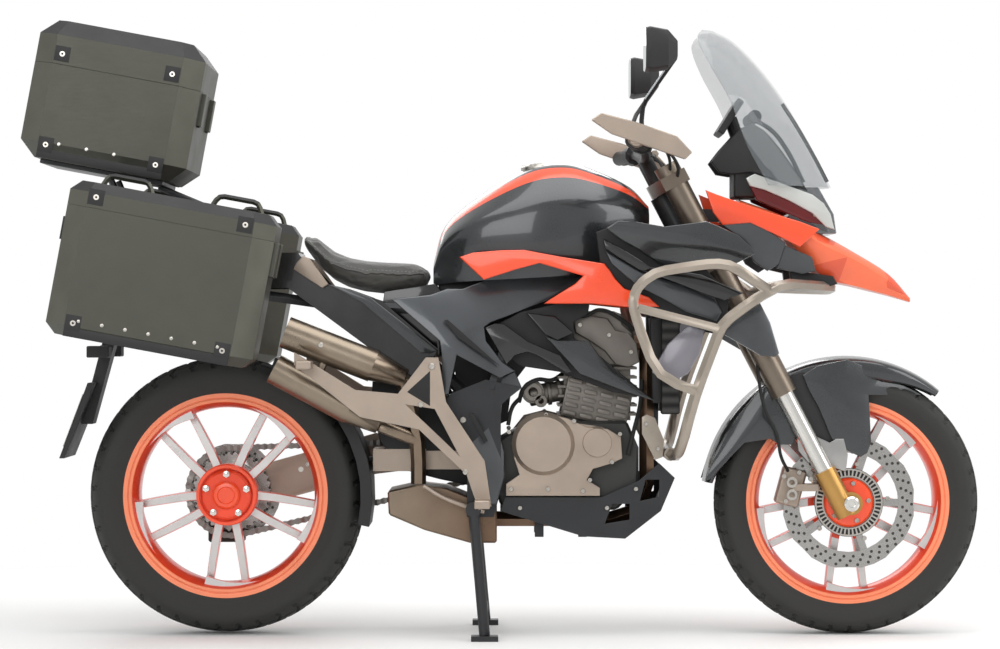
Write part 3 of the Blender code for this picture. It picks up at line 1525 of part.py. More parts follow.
# Crash bars
def make_crash_bars():
    """one welded cage: a lower bar, a hoop on each side and a bar across the nose"""
    lower_x = crash_lower_x
    y = crash_bar_y
    parts = []
    route = [(lower_x, crash_mount_y, crash_low_z), (lower_x + crash_bar_radius, crash_knee_y, crash_low_z)]
    for along, up, out in crash_main_shares:
        route.append((lower_x + crash_length * along, y * out, crash_low_z + crash_height * up))
    right = [Vector((x, -out, z)) for x, out, z in route]
    left = [Vector((x, out, z)) for x, out, z in reversed(route)]
    parts.append(tube(right + left, crash_bar_radius, crash_corner))
    loop = []
    for along, up, out in crash_loop_shares:
        loop.append(Vector((lower_x + crash_length * along, -y * out, crash_low_z + crash_height * up)))
    hoop = tube(loop, crash_bar_radius * 0.95, crash_corner)
    brace = tube([Vector((lower_x + crash_length * u, -y * out, crash_low_z + crash_height * v))
                  for u, v, out in crash_brace_shares], crash_bar_radius * 0.8, crash_corner)
    parts += [hoop, mirrored(hoop), brace, mirrored(brace)]
    reach = crash_mount_y + crash_bar_radius
    parts.append(rod((lower_x, -reach, crash_low_z), (lower_x, reach, crash_low_z), crash_bar_radius * 1.1, 12))
    parts.append(block(lower_x - crash_pad_reach, lower_x, -crash_pad_half_width, crash_pad_half_width,
                       crash_low_z - crash_bar_radius * 0.8, crash_low_z + crash_bar_radius * 0.8))
    piece("crash_bars", fused(parts), "champagne", motorcycle)


# Luggage
def case_matrix(x, y, z):
    return Matrix.Translation((x, y, z)) @ Matrix.Rotation(case_tilt, 4, "Y")


def case_ring(length, width, chamfer, inset, z):
    """an eight-cornered ring: a rectangle whose upright edges are cut off"""
    half = length / 2 - inset
    side = width / 2 - inset
    back = chamfer - inset * (2 - math.sqrt(2))
    corners = [(half, back - side), (half, side - back), (half - back, side), (back - half, side),
               (-half, side - back), (-half, back - side), (back - half, -side), (half - back, -side)]
    return [Vector((x, y, z)) for x, y in corners]


def case_body(length, width, height, foot):
    """an open box with walls of one thickness and a bevelled foot"""
    return loft([
        case_ring(length, width, case_chamfer, foot, 0),
        case_ring(length, width, case_chamfer, 0, foot),
        case_ring(length, width, case_chamfer, 0, height),
        case_ring(length, width, case_chamfer, case_wall, height),
        case_ring(length, width, case_chamfer, case_wall, foot + case_wall),
        case_ring(length, width, case_chamfer, foot + case_wall, case_wall),
    ])


def case_lid(length, width, height, crown):
    """a lid with a bevelled crown, hollow underneath"""
    return loft([
        case_ring(length, width, case_chamfer, crown + case_wall, height - case_wall),
        case_ring(length, width, case_chamfer, case_wall, height - crown),
        case_ring(length, width, case_chamfer, case_wall, 0),
        case_ring(length, width, case_chamfer, 0, 0),
        case_ring(length, width, case_chamfer, 0, height - crown),
        case_ring(length, width, case_chamfer, crown, height),
    ])


def clasps(length, width, height, low, depth):
    """two clasps on the front face, below the lid's edge"""
    made = []
    for side in (-1, 1):
        y = side * (width / 2 - case_chamfer) * clasp_place_share
        made.append(softened(block(length / 2 - case_wall / 2, length / 2 + depth, y - clasp_width / 2,
                                   y + clasp_width / 2, height - low, height - seat_gap * 4), overrun / 4))
    return made


def grip_loop(length, width, top):
    """a strap-like carrying loop that stands on a lid's crown"""
    half = length / 2
    return tube([Vector((-half, 0, top - overrun / 4)), Vector((-half * 0.8, 0, top + grip_loop_height)),
                 Vector((half * 0.8, 0, top + grip_loop_height)), Vector((half, 0, top - overrun / 4))],
                grip_loop_radius, grip_loop_height / 2, 0, 2)


def make_case(name, lid_name, x, y, z, length, width, height, lid_height, crown, grips):
    place = case_matrix(x, y, z)
    hooks = clasps(length, width, height, clasp_height, clasp_depth)
    body = fused([case_body(length, width, height, crown)] + hooks)
    bmesh.ops.transform(body, matrix=place, verts=body.verts)
    piece(name, body, "case_olive", motorcycle)
    hinge = place @ Vector((length / 2, 0, height + seat_gap))
    lid_axis = pivot(lid_name + "_axis", hinge, motorcycle)
    parts = [case_lid(length, width, lid_height, crown)]
    for along, across in grips:
        loop = grip_loop(grip_loop_length, width, lid_height)
        bmesh.ops.translate(loop, verts=loop.verts, vec=(length * along, width * across, 0))
        parts.append(loop)
    lid = fused(parts)
    shift = Matrix.Translation((0, 0, height + seat_gap))
    bmesh.ops.transform(lid, matrix=place @ shift, verts=lid.verts)
    piece(lid_name, lid, "case_olive", lid_axis)
    return hinge


def make_luggage():
    """the top case, the two panniers and the carrier that holds them"""
    make_case("top_case", "top_lid", top_case_x, 0, top_case_z, top_case_length, top_case_width,
              top_case_height, top_lid_height, top_case_crown, [])
    side_y = pannier_inner_y + pannier_width / 2
    for side, name in ((-1, "right"), (1, "left")):
        make_case("pannier_" + name, name + "_lid", pannier_x, side * side_y, pannier_z, pannier_length,
                  pannier_width, pannier_height, pannier_lid_height, pannier_crown, pannier_grip_shares)
    make_carrier()


def make_carrier():
    """the plate under the top case, its legs, and a hoop behind each pannier"""
    radius = carrier_tube_radius
    place = case_matrix(top_case_x, 0, top_case_z)
    half = top_case_length / 2 * carrier_plate_share
    plate = softened(block(-half, half, -half, half, -carrier_plate_thickness - seat_gap, -seat_gap), overrun / 4)
    bmesh.ops.transform(plate, matrix=place, verts=plate.verts)
    parts = [plate]
    hoop_y = pannier_inner_y - radius - seat_gap
    tilt = case_matrix(pannier_x, 0, pannier_z)
    for side in (-1, 1):
        ring = []
        for u, v, out in hoop_shares:
            corner = tilt @ Vector((pannier_length * u, 0, pannier_height * v))
            ring.append(corner + Vector((0, side * hoop_y * out, 0)))
        parts.append(tube(ring, radius, hoop_corner))
    for (u, v, out), share in ((hoop_shares[0], 0.9), (hoop_shares[-1], 0.1)):
        cross = tilt @ Vector((pannier_length * u, 0, pannier_height * v))
        across = Vector((0, hoop_y * (out + 0.1), 0))
        parts.append(rod(cross - across, cross + across, radius * 0.95, 10))
        under = place @ Vector((half * share, 0, -carrier_plate_thickness - radius * 0.5))
        for side in (-1, 1):
            offset = Vector((0, side * leg_y, 0))
            foot = Vector((cross.x, side * leg_y, deck_z + seat_gap))
            parts.append(tube([foot, cross + offset, under + offset], radius * 0.85, radius * 2))
    piece("luggage_carrier", fused(parts), "frame_dark", motorcycle)


# Steering: fork, bar, guards, mirrors, mudguard and caliper
def make_fork():
    """an upside-down fork: clamps, sliders, bright stanchions and axle lugs"""
    parts = []
    for side in (-1, 1):
        y = Vector((0, side * fork_half_spread, 0))
        top = on_steering_axis(fork_top_z, fork_offset) + y
        bottom = on_steering_axis(slider_bottom_z, fork_offset) + y
        lug_top = on_steering_axis(lug_top_z, fork_offset) + y
        foot = front_axle + y - steering_forward * axle_lug_offset
        parts.append(rod(top, bottom, slider_radius, 20))
        parts.append(rod(bottom + steering_up * overrun, lug_top - steering_up * overrun, stanchion_radius, 20))
        parts.append(rod(lug_top, foot - steering_up * lug_drop, stanchion_radius * 1.2, 16))
        parts.append(rod(front_axle + y - Vector((0, lug_half_width, 0)),
                         front_axle + y + Vector((0, lug_half_width, 0)), lug_boss_radius, 20))
    for height in (clamp_top_z, clamp_bottom_z):
        middle = on_steering_axis(height, 0)
        plate = clamp_plate()
        turn = Matrix.Translation(middle) @ Matrix.Rotation(-rake, 4, "Y")
        bmesh.ops.transform(plate, matrix=turn, verts=plate.verts)
        parts.append(plate)
    parts.append(rod(on_steering_axis(clamp_bottom_z), on_steering_axis(clamp_top_z), stem_radius, 14))
    reach = fork_half_spread + lug_half_width + overrun
    parts.append(rod(front_axle - Vector((0, reach, 0)), front_axle + Vector((0, reach, 0)), front_axle_radius, 16))
    piece("fork", fused(parts), "champagne", steering)


def clamp_plate():
    """one clamp across both legs and the stem, in the steering's own frame"""
    half = clamp_height / 2
    outer = fork_half_spread
    points = [
        (fork_offset + slider_radius * 1.15, outer + slider_radius * 0.9),
        (fork_offset + slider_radius * 1.15, outer * 0.45),
        (stem_radius * 1.6, 0), (fork_offset + slider_radius * 1.15, -outer * 0.45),
        (fork_offset + slider_radius * 1.15, -outer - slider_radius * 0.9),
        (fork_offset - slider_radius, -outer - slider_radius * 1.15), (-stem_radius * 1.7, -outer * 0.3),
        (-stem_radius * 1.7, outer * 0.3), (fork_offset - slider_radius, outer + slider_radius * 1.15),
    ]
    bm = bmesh.new()
    face = bm.faces.new([bm.verts.new((x, y, -half)) for x, y in points])
    grown = bmesh.ops.extrude_face_region(bm, geom=[face])
    moved = [item for item in grown["geom"] if isinstance(item, bmesh.types.BMVert)]
    bmesh.ops.translate(bm, verts=moved, vec=(0, 0, clamp_height))
    return bm


def make_handlebar():
    """a wide bar on two risers, with grips, levers and switch blocks"""
    riser_foot = on_steering_axis(clamp_top_z) + steering_up * (clamp_height / 2 + seat_gap)
    riser_top = riser_foot + steering_up * riser_height
    parts = []
    right = [
        Vector((bar_x, -bar_half_width, bar_z)), Vector((bar_x + bar_rise_run, -bar_half_width * 0.5, bar_z)),
        Vector((riser_top.x, -bar_centre_half, riser_top.z)),
    ]
    left = [Vector((point.x, -point.y, point.z)) for point in reversed(right)]
    parts.append(tube(right + left, bar_radius, bar_corner, 2))
    for side in (-1, 1):
        spread = Vector((0, side * riser_half_spread, 0))
        parts.append(rod(riser_foot + spread, riser_top + spread, bar_radius * 1.5, 12))
        end = Vector((bar_x, side * bar_half_width, bar_z))
        inward = Vector((bar_rise_run * 0.65, -side * bar_half_width * 0.325, 0)).normalized()
        parts.append(rod(end, end + inward * grip_length, grip_radius, 14))
        switch = end + inward * (grip_length + grip_radius)
        parts.append(rod(switch - inward * grip_radius * 0.9, switch + inward * grip_radius * 1.3,
                         grip_radius * 1.35, 10))
        lever_root = switch + Vector((lever_reach, 0, 0))
        lever_tip = end + Vector((lever_reach, -side * grip_radius, 0))
        parts.append(tube([switch, lever_root, lever_tip], bar_radius * 0.55, lever_reach / 2))
    piece("handlebar", fused(parts), "matt_black", steering)


def make_guards():
    """hand guards: a beam from the bar's end round the front of the grip, with a shield"""
    inward = Vector((bar_rise_run * 0.65, bar_half_width * 0.325, 0)).normalized()
    start = Vector((bar_x, -bar_half_width, bar_z)) - inward * seat_gap
    beam = tube([
        start, start - inward * guard_end_length,
        start + Vector((guard_reach, -guard_end_length * 0.5, guard_rise * 0.2)),
        start + Vector((guard_reach, guard_inset, guard_rise * 0.4)),
    ], bar_radius * 0.9, guard_reach * 0.4)
    x, z = start.x, start.z
    shield = prism(outline(x - guard_back, z - guard_height * 0.5, guard_reach + guard_back + guard_nose,
                           guard_height + guard_rise, guard_shares),
                   start.y - guard_end_length - guard_thickness, start.y - guard_end_length + bar_radius * 0.5)
    both_sides("handguard", fused([beam, softened(shield, overrun / 2)]), "champagne", steering)


def make_mirrors():
    """a mirror on its stem, each standing on the bar's switch block"""
    inward = Vector((bar_rise_run * 0.65, bar_half_width * 0.325, 0)).normalized()
    end = Vector((bar_x, -bar_half_width, bar_z))
    block_place = end + inward * (grip_length + grip_radius)
    foot = block_place + Vector((0, 0, grip_radius * 1.35 + seat_gap))
    head = Vector((mirror_x, -mirror_y, mirror_z))
    root = head + Vector((mirror_length * 0.4, 0, -mirror_height * 0.2))
    stem = tube([foot, foot + Vector((0, 0, mirror_stem_rise)), root],
                bar_radius * 0.5, mirror_stem_rise * 0.6)
    sections = []
    for along, grow in ((0, 0.94), (0.15, 1.0), (0.7, 0.86), (1.0, 0.4)):
        ring = []
        for step in range(mirror_ring_steps):
            angle = 2 * math.pi * step / mirror_ring_steps
            squared = 1 / max(abs(math.cos(angle)), abs(math.sin(angle))) ** 0.55
            ring.append(Vector((
                head.x + mirror_length * (along - 0.5),
                head.y + mirror_half_width * grow * squared * math.cos(angle),
                head.z + mirror_height / 2 * grow * squared * math.sin(angle),
            )))
        sections.append(ring)
    both_sides("mirror", fused([loft(sections), stem]), "matt_black", steering)


def make_mudguard():
    """a curved mudguard close over the front tyre, with side flanges and stays"""
    inner = front_tyre_radius + mudguard_gap
    outer = inner + mudguard_thickness
    sections = []
    for step in range(mudguard_steps + 1):
        share = step / mudguard_steps
        angle = mudguard_front_angle + (mudguard_rear_angle - mudguard_front_angle) * share
        out = Vector((math.cos(angle), 0, math.sin(angle)))
        wide = mudguard_half_width * (mudguard_nose_share + (1 - mudguard_nose_share) * min(1, share * 3))
        drop = mudguard_side_drop * math.sin(math.pi * min(1, 0.15 + share * 0.8))
        ring = []
        for radius, y in (
            (inner - drop, -wide), (outer - drop * 0.1, -wide), (outer + mudguard_crown, -wide * 0.35),
            (outer + mudguard_crown, wide * 0.35), (outer - drop * 0.1, wide), (inner - drop, wide),
            (inner - drop, wide - mudguard_thickness), (inner - drop * 0.1, wide - mudguard_thickness),
            (inner + mudguard_crown, wide * 0.33), (inner + mudguard_crown, -wide * 0.33),
            (inner - drop * 0.1, mudguard_thickness - wide), (inner - drop, mudguard_thickness - wide),
        ):
            ring.append(front_axle + out * radius + Vector((0, y, 0)))
        sections.append(ring)
    stay_outer = mudguard_half_width
    points = [(front_axle.x + front_tyre_radius * u, front_axle.z + front_tyre_radius * v)
              for u, v in mudguard_stay_shares]
    stay = prism(points, mudguard_thickness * 0.1 - stay_outer, mudguard_thickness * 0.8 - stay_outer)
    boss_x = front_axle.x + front_tyre_radius * mudguard_boss_shares[0]
    boss_z = front_axle.z + front_tyre_radius * mudguard_boss_shares[1]
    boss = rod((boss_x, mudguard_thickness / 2 - stay_outer, boss_z),
               (boss_x, lug_half_width - fork_half_spread + seat_gap, boss_z), overrun, 8)
    piece("front_mudguard", fused([loft(sections), stay, mirrored(stay), boss, mirrored(boss)]),
          "body_grey", steering)


def make_front_caliper():
    """a caliper behind the right leg that straddles the disc"""
    angle = front_caliper_angle
    reach = front_disc_radius - caliper_height * 0.25
    place = front_axle + Vector((reach * math.cos(angle), 0, reach * math.sin(angle)))
    body = block(-caliper_length / 2, caliper_length / 2, front_disc_y - caliper_half_width,
                 front_disc_y + caliper_half_width, -caliper_height / 2, caliper_height / 2)
    body = softened(body, overrun)
    turn = Matrix.Translation(place) @ Matrix.Rotation(math.pi / 2 - angle, 4, "Y")
    bmesh.ops.transform(body, matrix=turn, verts=body.verts)
    slot = ring_plate(front_disc_radius + overrun, front_hub_radius, front_disc_y - disc_thickness,
                      front_disc_y + disc_thickness, 48, front_axle)
    body = cut(body, [slot])
    lug = on_steering_axis(place.z + overrun * 2, fork_offset)
    end = lug.x - stanchion_radius * 1.2 / math.cos(rake) - seat_gap * 3
    ear = block(place.x, end, -fork_half_spread - lug_half_width * 0.4, front_disc_y - disc_thickness * 1.6,
                place.z - overrun * 2, place.z + overrun * 2)
    piece("front_caliper", fused([body, ear]), "frame_dark", steering)


# Centre stand, deployed
def make_stand():
    """two splayed legs with a cross bar and flat feet, hinged under the frame"""
    axis = pivot("stand_axis", Vector((stand_pivot_x, 0, stand_pivot_z)), motorcycle)
    boss_y = pivot_plate_y + seat_gap
    parts = []
    for side in (-1, 1):
        top = Vector((stand_pivot_x, side * stand_half_spread, stand_pivot_z))
        foot = Vector((stand_foot_x, side * stand_foot_spread, stand_foot_height))
        parts.append(rod(top, foot, stand_leg_radius, 12))
        parts.append(rod((stand_pivot_x, side * boss_y, stand_pivot_z),
                         (stand_pivot_x, side * (stand_half_spread + stand_leg_radius), stand_pivot_z),
                         stand_leg_radius * 1.4, 14))
        middle = side * stand_foot_spread
        parts.append(block(stand_foot_x - stand_foot_length / 2, stand_foot_x + stand_foot_length / 2,
                           middle - stand_foot_width / 2, middle + stand_foot_width / 2, 0, stand_foot_height))
    share = stand_bar_drop / stand_pivot_z
    bar_x_place = stand_pivot_x + (stand_foot_x - stand_pivot_x) * share
    bar_y = stand_half_spread + (stand_foot_spread - stand_half_spread) * share
    bar = stand_pivot_z - stand_bar_drop
    parts.append(rod((bar_x_place, -bar_y, bar), (bar_x_place, bar_y, bar), stand_leg_radius * 0.9, 12))
    piece("centre_stand", fused(parts), "frame_dark", axis)
    return axis


make_frame()
make_engine()
make_radiator()
make_bash_plate()
make_exhaust()
make_silencers()
make_footrests()
make_swingarm()
make_chain()
make_rear_caliper()
make_hugger()
make_tank()
make_seat()
make_side_panels()
make_tail()
make_nose()
make_crash_bars()
make_luggage()
make_fork()
make_handlebar()
make_guards()
make_mirrors()
make_mudguard()
make_front_caliper()
make_front_wheel()
make_rear_wheel()
make_rear_hub()
make_stand()

# The box of the whole bike stands centred on the origin
bpy.context.view_layer.update()
rear_reach = min((made.matrix_world @ vert.co).x for made in bpy.data.objects if made.type == "MESH"
                 for vert in made.data.vertices)
motorcycle.location.x = -(rear_reach + wheelbase + front_tyre_radius) / 2
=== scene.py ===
import json
import math
import bmesh
import bpy
from mathutils import Matrix, Vector
from mathutils.bvhtree import BVHTree

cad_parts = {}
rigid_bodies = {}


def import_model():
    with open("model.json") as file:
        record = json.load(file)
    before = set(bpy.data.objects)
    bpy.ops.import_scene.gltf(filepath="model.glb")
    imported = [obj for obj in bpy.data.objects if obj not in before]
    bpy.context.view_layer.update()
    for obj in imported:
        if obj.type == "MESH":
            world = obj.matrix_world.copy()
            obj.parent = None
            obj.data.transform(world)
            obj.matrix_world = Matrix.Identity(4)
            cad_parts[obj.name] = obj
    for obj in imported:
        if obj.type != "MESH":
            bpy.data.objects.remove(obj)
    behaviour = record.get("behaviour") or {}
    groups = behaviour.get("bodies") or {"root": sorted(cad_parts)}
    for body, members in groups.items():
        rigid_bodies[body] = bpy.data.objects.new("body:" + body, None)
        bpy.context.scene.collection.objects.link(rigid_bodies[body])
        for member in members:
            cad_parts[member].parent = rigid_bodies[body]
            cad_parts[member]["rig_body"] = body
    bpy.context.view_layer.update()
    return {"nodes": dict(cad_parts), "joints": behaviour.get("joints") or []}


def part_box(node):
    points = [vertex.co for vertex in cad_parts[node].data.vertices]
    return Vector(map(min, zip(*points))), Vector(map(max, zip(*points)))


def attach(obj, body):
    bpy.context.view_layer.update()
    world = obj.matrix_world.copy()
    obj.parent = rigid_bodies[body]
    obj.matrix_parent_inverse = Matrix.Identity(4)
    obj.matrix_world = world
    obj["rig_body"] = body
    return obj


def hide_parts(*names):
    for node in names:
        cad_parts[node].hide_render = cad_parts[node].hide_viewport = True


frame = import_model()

print("frame loaded")


# Places: everything is measured from the rear axle, at floor height
def middleOf(node):
    low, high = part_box(node)
    return (low + high) / 2


rearAxle = middleOf("rear_tyre")
frontAxle = middleOf("front_tyre")
steerTilt = math.radians(27.5)        # the fork's rake
steerUp = Vector((-math.sin(steerTilt), 0, math.cos(steerTilt)))
steerAhead = Vector((math.cos(steerTilt), 0, math.sin(steerTilt)))
steerPoint = Vector(next(joint for joint in frame["joints"] if joint["name"] == "steering")["pos_m"])

# the photograph: its scale at the bike's middle, and where the camera stood
viewSettings = {"metresPerPixel": 0.0022757, "middle": (500, 324.5), "cameraBack": 7.0, "cameraX": 0.619,
                "cameraHeight": 0.701, "lens": 110.7}


def spot(x, y, z):
    return Vector((rearAxle.x + x, y, z))


def onSteering(height, ahead=0.0, side=0.0):
    start = steerPoint + steerAhead * ahead
    return start + steerUp * ((height - start.z) / steerUp.z) + Vector((0, side, 0))


# Small modelling steps shared by the pieces
def aimed(at, direction):
    turn = Vector(direction).to_track_quat("Z", "Y").to_matrix().to_4x4()
    return Matrix.Translation(at) @ turn


def addBar(bm, start, end, radius, segments=16, endRadius=None, soften=0.0):
    start, end = Vector(start), Vector(end)
    run = end - start
    made = bmesh.ops.create_cone(bm, cap_ends=True, segments=segments, radius1=radius,
                                 radius2=radius if endRadius is None else endRadius, depth=run.length)["verts"]
    if soften:
        for face in {face for vert in made for face in vert.link_faces}:
            face.normal_update()
        rims = {edge for vert in made for edge in vert.link_edges if edge.calc_face_angle(0) > 0.9}
        bevelled = bmesh.ops.bevel(bm, geom=list(rims), offset=soften, segments=2, profile=0.5,
                                   affect="EDGES", material=-1)
        made = list({vert for vert in made if vert.is_valid} | set(bevelled["verts"]))
    bmesh.ops.transform(bm, matrix=aimed((start + end) / 2, run), verts=made)
    return made


def addBlock(bm, centre, size, turn=None, soften=0.0, segments=2):
    made = bmesh.ops.create_cube(bm, size=1.0)["verts"]
    bmesh.ops.scale(bm, vec=size, verts=made)
    if soften:
        edges = {edge for vert in made for edge in vert.link_edges}
        bevelled = bmesh.ops.bevel(bm, geom=list(edges), offset=soften, segments=segments, profile=0.5,
                                   affect="EDGES", material=-1)
        made = list({vert for vert in made if vert.is_valid} | set(bevelled["verts"]))
    matrix = Matrix.Translation(centre) @ (turn.to_4x4() if turn else Matrix.Identity(4))
    bmesh.ops.transform(bm, matrix=matrix, verts=made)
    return made


def addPlate(bm, outline, yStart, yEnd, soften=0.0, segments=2, holes=()):
    # a flat plate with an outline of (x, z) points, its far face's edges softened
    before = set(bm.verts)
    edges = []
    for loop in (outline, *holes):
        verts = [bm.verts.new((point[0], yStart, point[1])) for point in loop]
        edges += [bm.edges.new(pair) for pair in zip(verts, verts[1:] + verts[:1])]
    if holes:
        filled = bmesh.ops.triangle_fill(bm, use_beauty=True, edges=edges)["geom"]
        faces = [item for item in filled if isinstance(item, bmesh.types.BMFace)]
    else:
        faces = bmesh.ops.contextual_create(bm, geom=edges)["faces"]
    grown = bmesh.ops.extrude_face_region(bm, geom=faces)["geom"]
    lifted = [item for item in grown if isinstance(item, bmesh.types.BMVert)]
    bmesh.ops.translate(bm, verts=lifted, vec=(0, yEnd - yStart, 0))
    if soften:
        made = [vert for vert in bm.verts if vert not in before]
        walls = {face for vert in made for face in vert.link_faces}
        bmesh.ops.recalc_face_normals(bm, faces=list(walls))
        edges = {edge for vert in lifted for edge in vert.link_edges if edge.calc_face_angle(0) > 0.8
                 and all(end in lifted for end in edge.verts)}
        bmesh.ops.bevel(bm, geom=list(edges), offset=soften, segments=segments, profile=0.5,
                        affect="EDGES", material=-1)
    return [vert for vert in bm.verts if vert not in before]


def addTurned(bm, profile, steps, closed=True):
    # a profile of (radius, rise) points turned about Z
    before = set(bm.verts)
    verts = [bm.verts.new((radius, 0, rise)) for radius, rise in profile]
    edges = [bm.edges.new(pair) for pair in zip(verts, verts[1:] + (verts[:1] if closed else []))]
    bmesh.ops.spin(bm, geom=verts + edges, cent=(0, 0, 0), axis=(0, 0, 1), angle=2 * math.pi,
                   steps=steps, use_merge=True)
    made = [vert for vert in bm.verts if vert not in before]
    bmesh.ops.remove_doubles(bm, verts=made, dist=0.00001)
    return [vert for vert in bm.verts if vert not in before]


def addRing(bm, centre, direction, outer, inner, width, steps=32, soften=0.0):
    half, soft = width / 2, soften or min(width, outer - inner) * 0.12
    profile = [(outer, soft - half), (outer, half - soft), (outer - soft, half), (inner + soft, half),
               (inner, half - soft), (inner, soft - half), (inner + soft, -half), (outer - soft, -half)]
    made = addTurned(bm, profile, steps)
    bmesh.ops.transform(bm, matrix=aimed(centre, direction), verts=made)
    return made


def addDome(bm, centre, direction, profile, steps=32):
    # a closed turned form, from the axis at its foot to the axis at its top
    made = addTurned(bm, profile, steps, closed=False)
    bmesh.ops.transform(bm, matrix=aimed(centre, direction), verts=made)
    return made


def addScrew(bm, at, direction, radius, height):
    # a socket-head screw: rounded rim and a sunk middle
    profile = [(0, 0), (radius, 0), (radius, height * 0.7), (radius * 0.85, height), (radius * 0.5, height),
               (radius * 0.42, height * 0.45), (0, height * 0.45)]
    return addDome(bm, at, direction, profile, 12)


def curveThrough(points, perSpan):
    # a smooth route through a few points
    points = [Vector(point) for point in points]
    padded = [points[0] * 2 - points[1]] + points + [points[-1] * 2 - points[-2]]
    route = []
    for before, start, end, after in zip(padded, padded[1:], padded[2:], padded[3:]):
        for step in range(perSpan):
            way = step / perSpan
            route.append(0.5 * (2 * start + (end - before) * way
                                + (2 * before - 5 * start + 4 * end - after) * way ** 2
                                + (3 * start - before - 3 * end + after) * way ** 3))
    return route + [points[-1]]


def addLoft(bm, rings, capped=True):
    # a skin over closed rings of points
    loops, made = [], []
    for ring in rings:
        verts = [bm.verts.new(point) for point in ring]
        loops.append([bm.edges.new(pair) for pair in zip(verts, verts[1:] + verts[:1])])
        made += verts
    for loop, following in zip(loops, loops[1:]):
        bmesh.ops.bridge_loops(bm, edges=loop + following)
    if capped:
        bmesh.ops.contextual_create(bm, geom=loops[0])
        bmesh.ops.contextual_create(bm, geom=loops[-1])
    return made


def mirrorAcross(bm):
    # adds the same form on the bike's other side
    copied = bmesh.ops.duplicate(bm, geom=bm.verts[:] + bm.edges[:] + bm.faces[:])["geom"]
    verts = [item for item in copied if isinstance(item, bmesh.types.BMVert)]
    bmesh.ops.scale(bm, vec=(1, -1, 1), verts=verts)
    bmesh.ops.reverse_faces(bm, faces=[item for item in copied if isinstance(item, bmesh.types.BMFace)])


def finishPiece(name, bm, material, body, angle=40, subdivision=0, merge=True):
    if merge:
        bmesh.ops.remove_doubles(bm, verts=bm.verts, dist=0.00001)
    bmesh.ops.recalc_face_normals(bm, faces=bm.faces)
    mesh = bpy.data.meshes.new(name)
    bm.to_mesh(mesh)
    bm.free()
    mesh.shade_smooth()
    mesh.set_sharp_from_angle(angle=math.radians(angle))
    made = bpy.data.objects.new(name, mesh)
    bpy.context.scene.collection.objects.link(made)
    made.data.materials.append(material)
    if subdivision:
        modifier = made.modifiers.new("round", "SUBSURF")
        modifier.levels = subdivision
        modifier.render_levels = subdivision
    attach(made, body)
    return made


def tubePiece(name, routes, radius, material, body):
    curve = bpy.data.curves.new(name, "CURVE")
    curve.dimensions = "3D"
    curve.bevel_depth = radius
    curve.bevel_resolution = 3
    curve.use_fill_caps = True
    for route in routes:
        spline = curve.splines.new("BEZIER")
        spline.bezier_points.add(len(route) - 1)
        for point, at in zip(spline.bezier_points, route):
            point.co = at
            point.handle_left_type = point.handle_right_type = "AUTO"
    made = bpy.data.objects.new(name, curve)
    bpy.context.scene.collection.objects.link(made)
    curve.materials.append(material)
    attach(made, body)
    return made


# Materials
def hexToLinear(code):
    channels = [int(code[place:place + 2], 16) / 255 for place in (1, 3, 5)]
    return (*[part / 12.92 if part <= 0.04045 else ((part + 0.055) / 1.055) ** 2.4 for part in channels], 1)


def addNode(material, kind, settings, output=None):
    # each setting is a property of the node, a socket's value or hex colour, or the output linked to it
    node = material.node_tree.nodes.new("ShaderNode" + kind)
    for name, value in settings.items():
        if isinstance(value, bpy.types.NodeSocket):
            material.node_tree.links.new(value, node.inputs[name])
        elif isinstance(name, int) or name in node.inputs:
            node.inputs[name].default_value = hexToLinear(value) if isinstance(value, str) else value
        else:
            setattr(node, name, value)
    return node.outputs if output is None else node.outputs[output]


def newMaterial(name, colour, roughness, metallic=0.0, more=None):
    material = bpy.data.materials.new(name)
    material.use_nodes = True
    shader = material.node_tree.nodes["Principled BSDF"]
    shader.inputs["Base Color"].default_value = hexToLinear(colour)
    shader.inputs["Roughness"].default_value = roughness
    shader.inputs["Metallic"].default_value = metallic
    for key, value in (more or {}).items():
        shader.inputs[key].default_value = value
    material.diffuse_color = hexToLinear(colour)
    return material, shader


def objectCoords(material, centre=(0, 0, 0), stretch=(1, 1, 1), turn=(0, 0, 0)):
    # the pattern's own place: moved to a centre, turned, then stretched
    start = addNode(material, "TexCoord", {}, "Object")
    if centre == (0, 0, 0) and stretch == (1, 1, 1) and turn == (0, 0, 0):
        return start
    moved = addNode(material, "VectorMath", {"operation": "SUBTRACT", 0: start, 1: tuple(centre)}, 0)
    return addNode(material, "Mapping", {"Rotation": turn, "Scale": stretch, "Vector": moved}, 0)


def weather(material, shader, colour, grainMm, bump, tone, roughness, stretch=(1, 1, 1)):
    # fine grain for the bump, a broad cloud for tone and gloss, both in real millimetres
    coords = objectCoords(material, (0, 0, 0), stretch)
    fine = addNode(material, "TexNoise", {"Scale": 1000 / grainMm, "Detail": 3.0, "Vector": coords}, "Fac")
    coords = objectCoords(material)
    broad = addNode(material, "TexNoise", {"Scale": 14.0, "Detail": 4.0, "Vector": coords}, "Fac")
    value = addNode(material, "MapRange", {0: broad, 1: 0.3, 2: 0.7, 3: 1 - tone, 4: 1 + tone}, 0)
    toned = addNode(material, "HueSaturation", {"Value": value, "Color": colour}, "Color")
    cloud = addNode(material, "MapRange", {0: broad, 1: 0.3, 2: 0.7, 3: -0.05, 4: 0.05}, 0)
    low, high = roughness - 0.04, roughness + 0.04
    grain = addNode(material, "MapRange", {0: fine, 1: 0.3, 2: 0.7, 3: low, 4: high}, 0)
    gloss = addNode(material, "Math", {"operation": "ADD", 0: cloud, 1: grain}, 0)
    normal = addNode(material, "Bump", {"Strength": bump, "Distance": grainMm / 3000, "Height": fine}, 0)
    for source, socket in ((toned, "Base Color"), (gloss, "Roughness"), (normal, "Normal")):
        material.node_tree.links.new(source, shader.inputs[socket])
    return normal


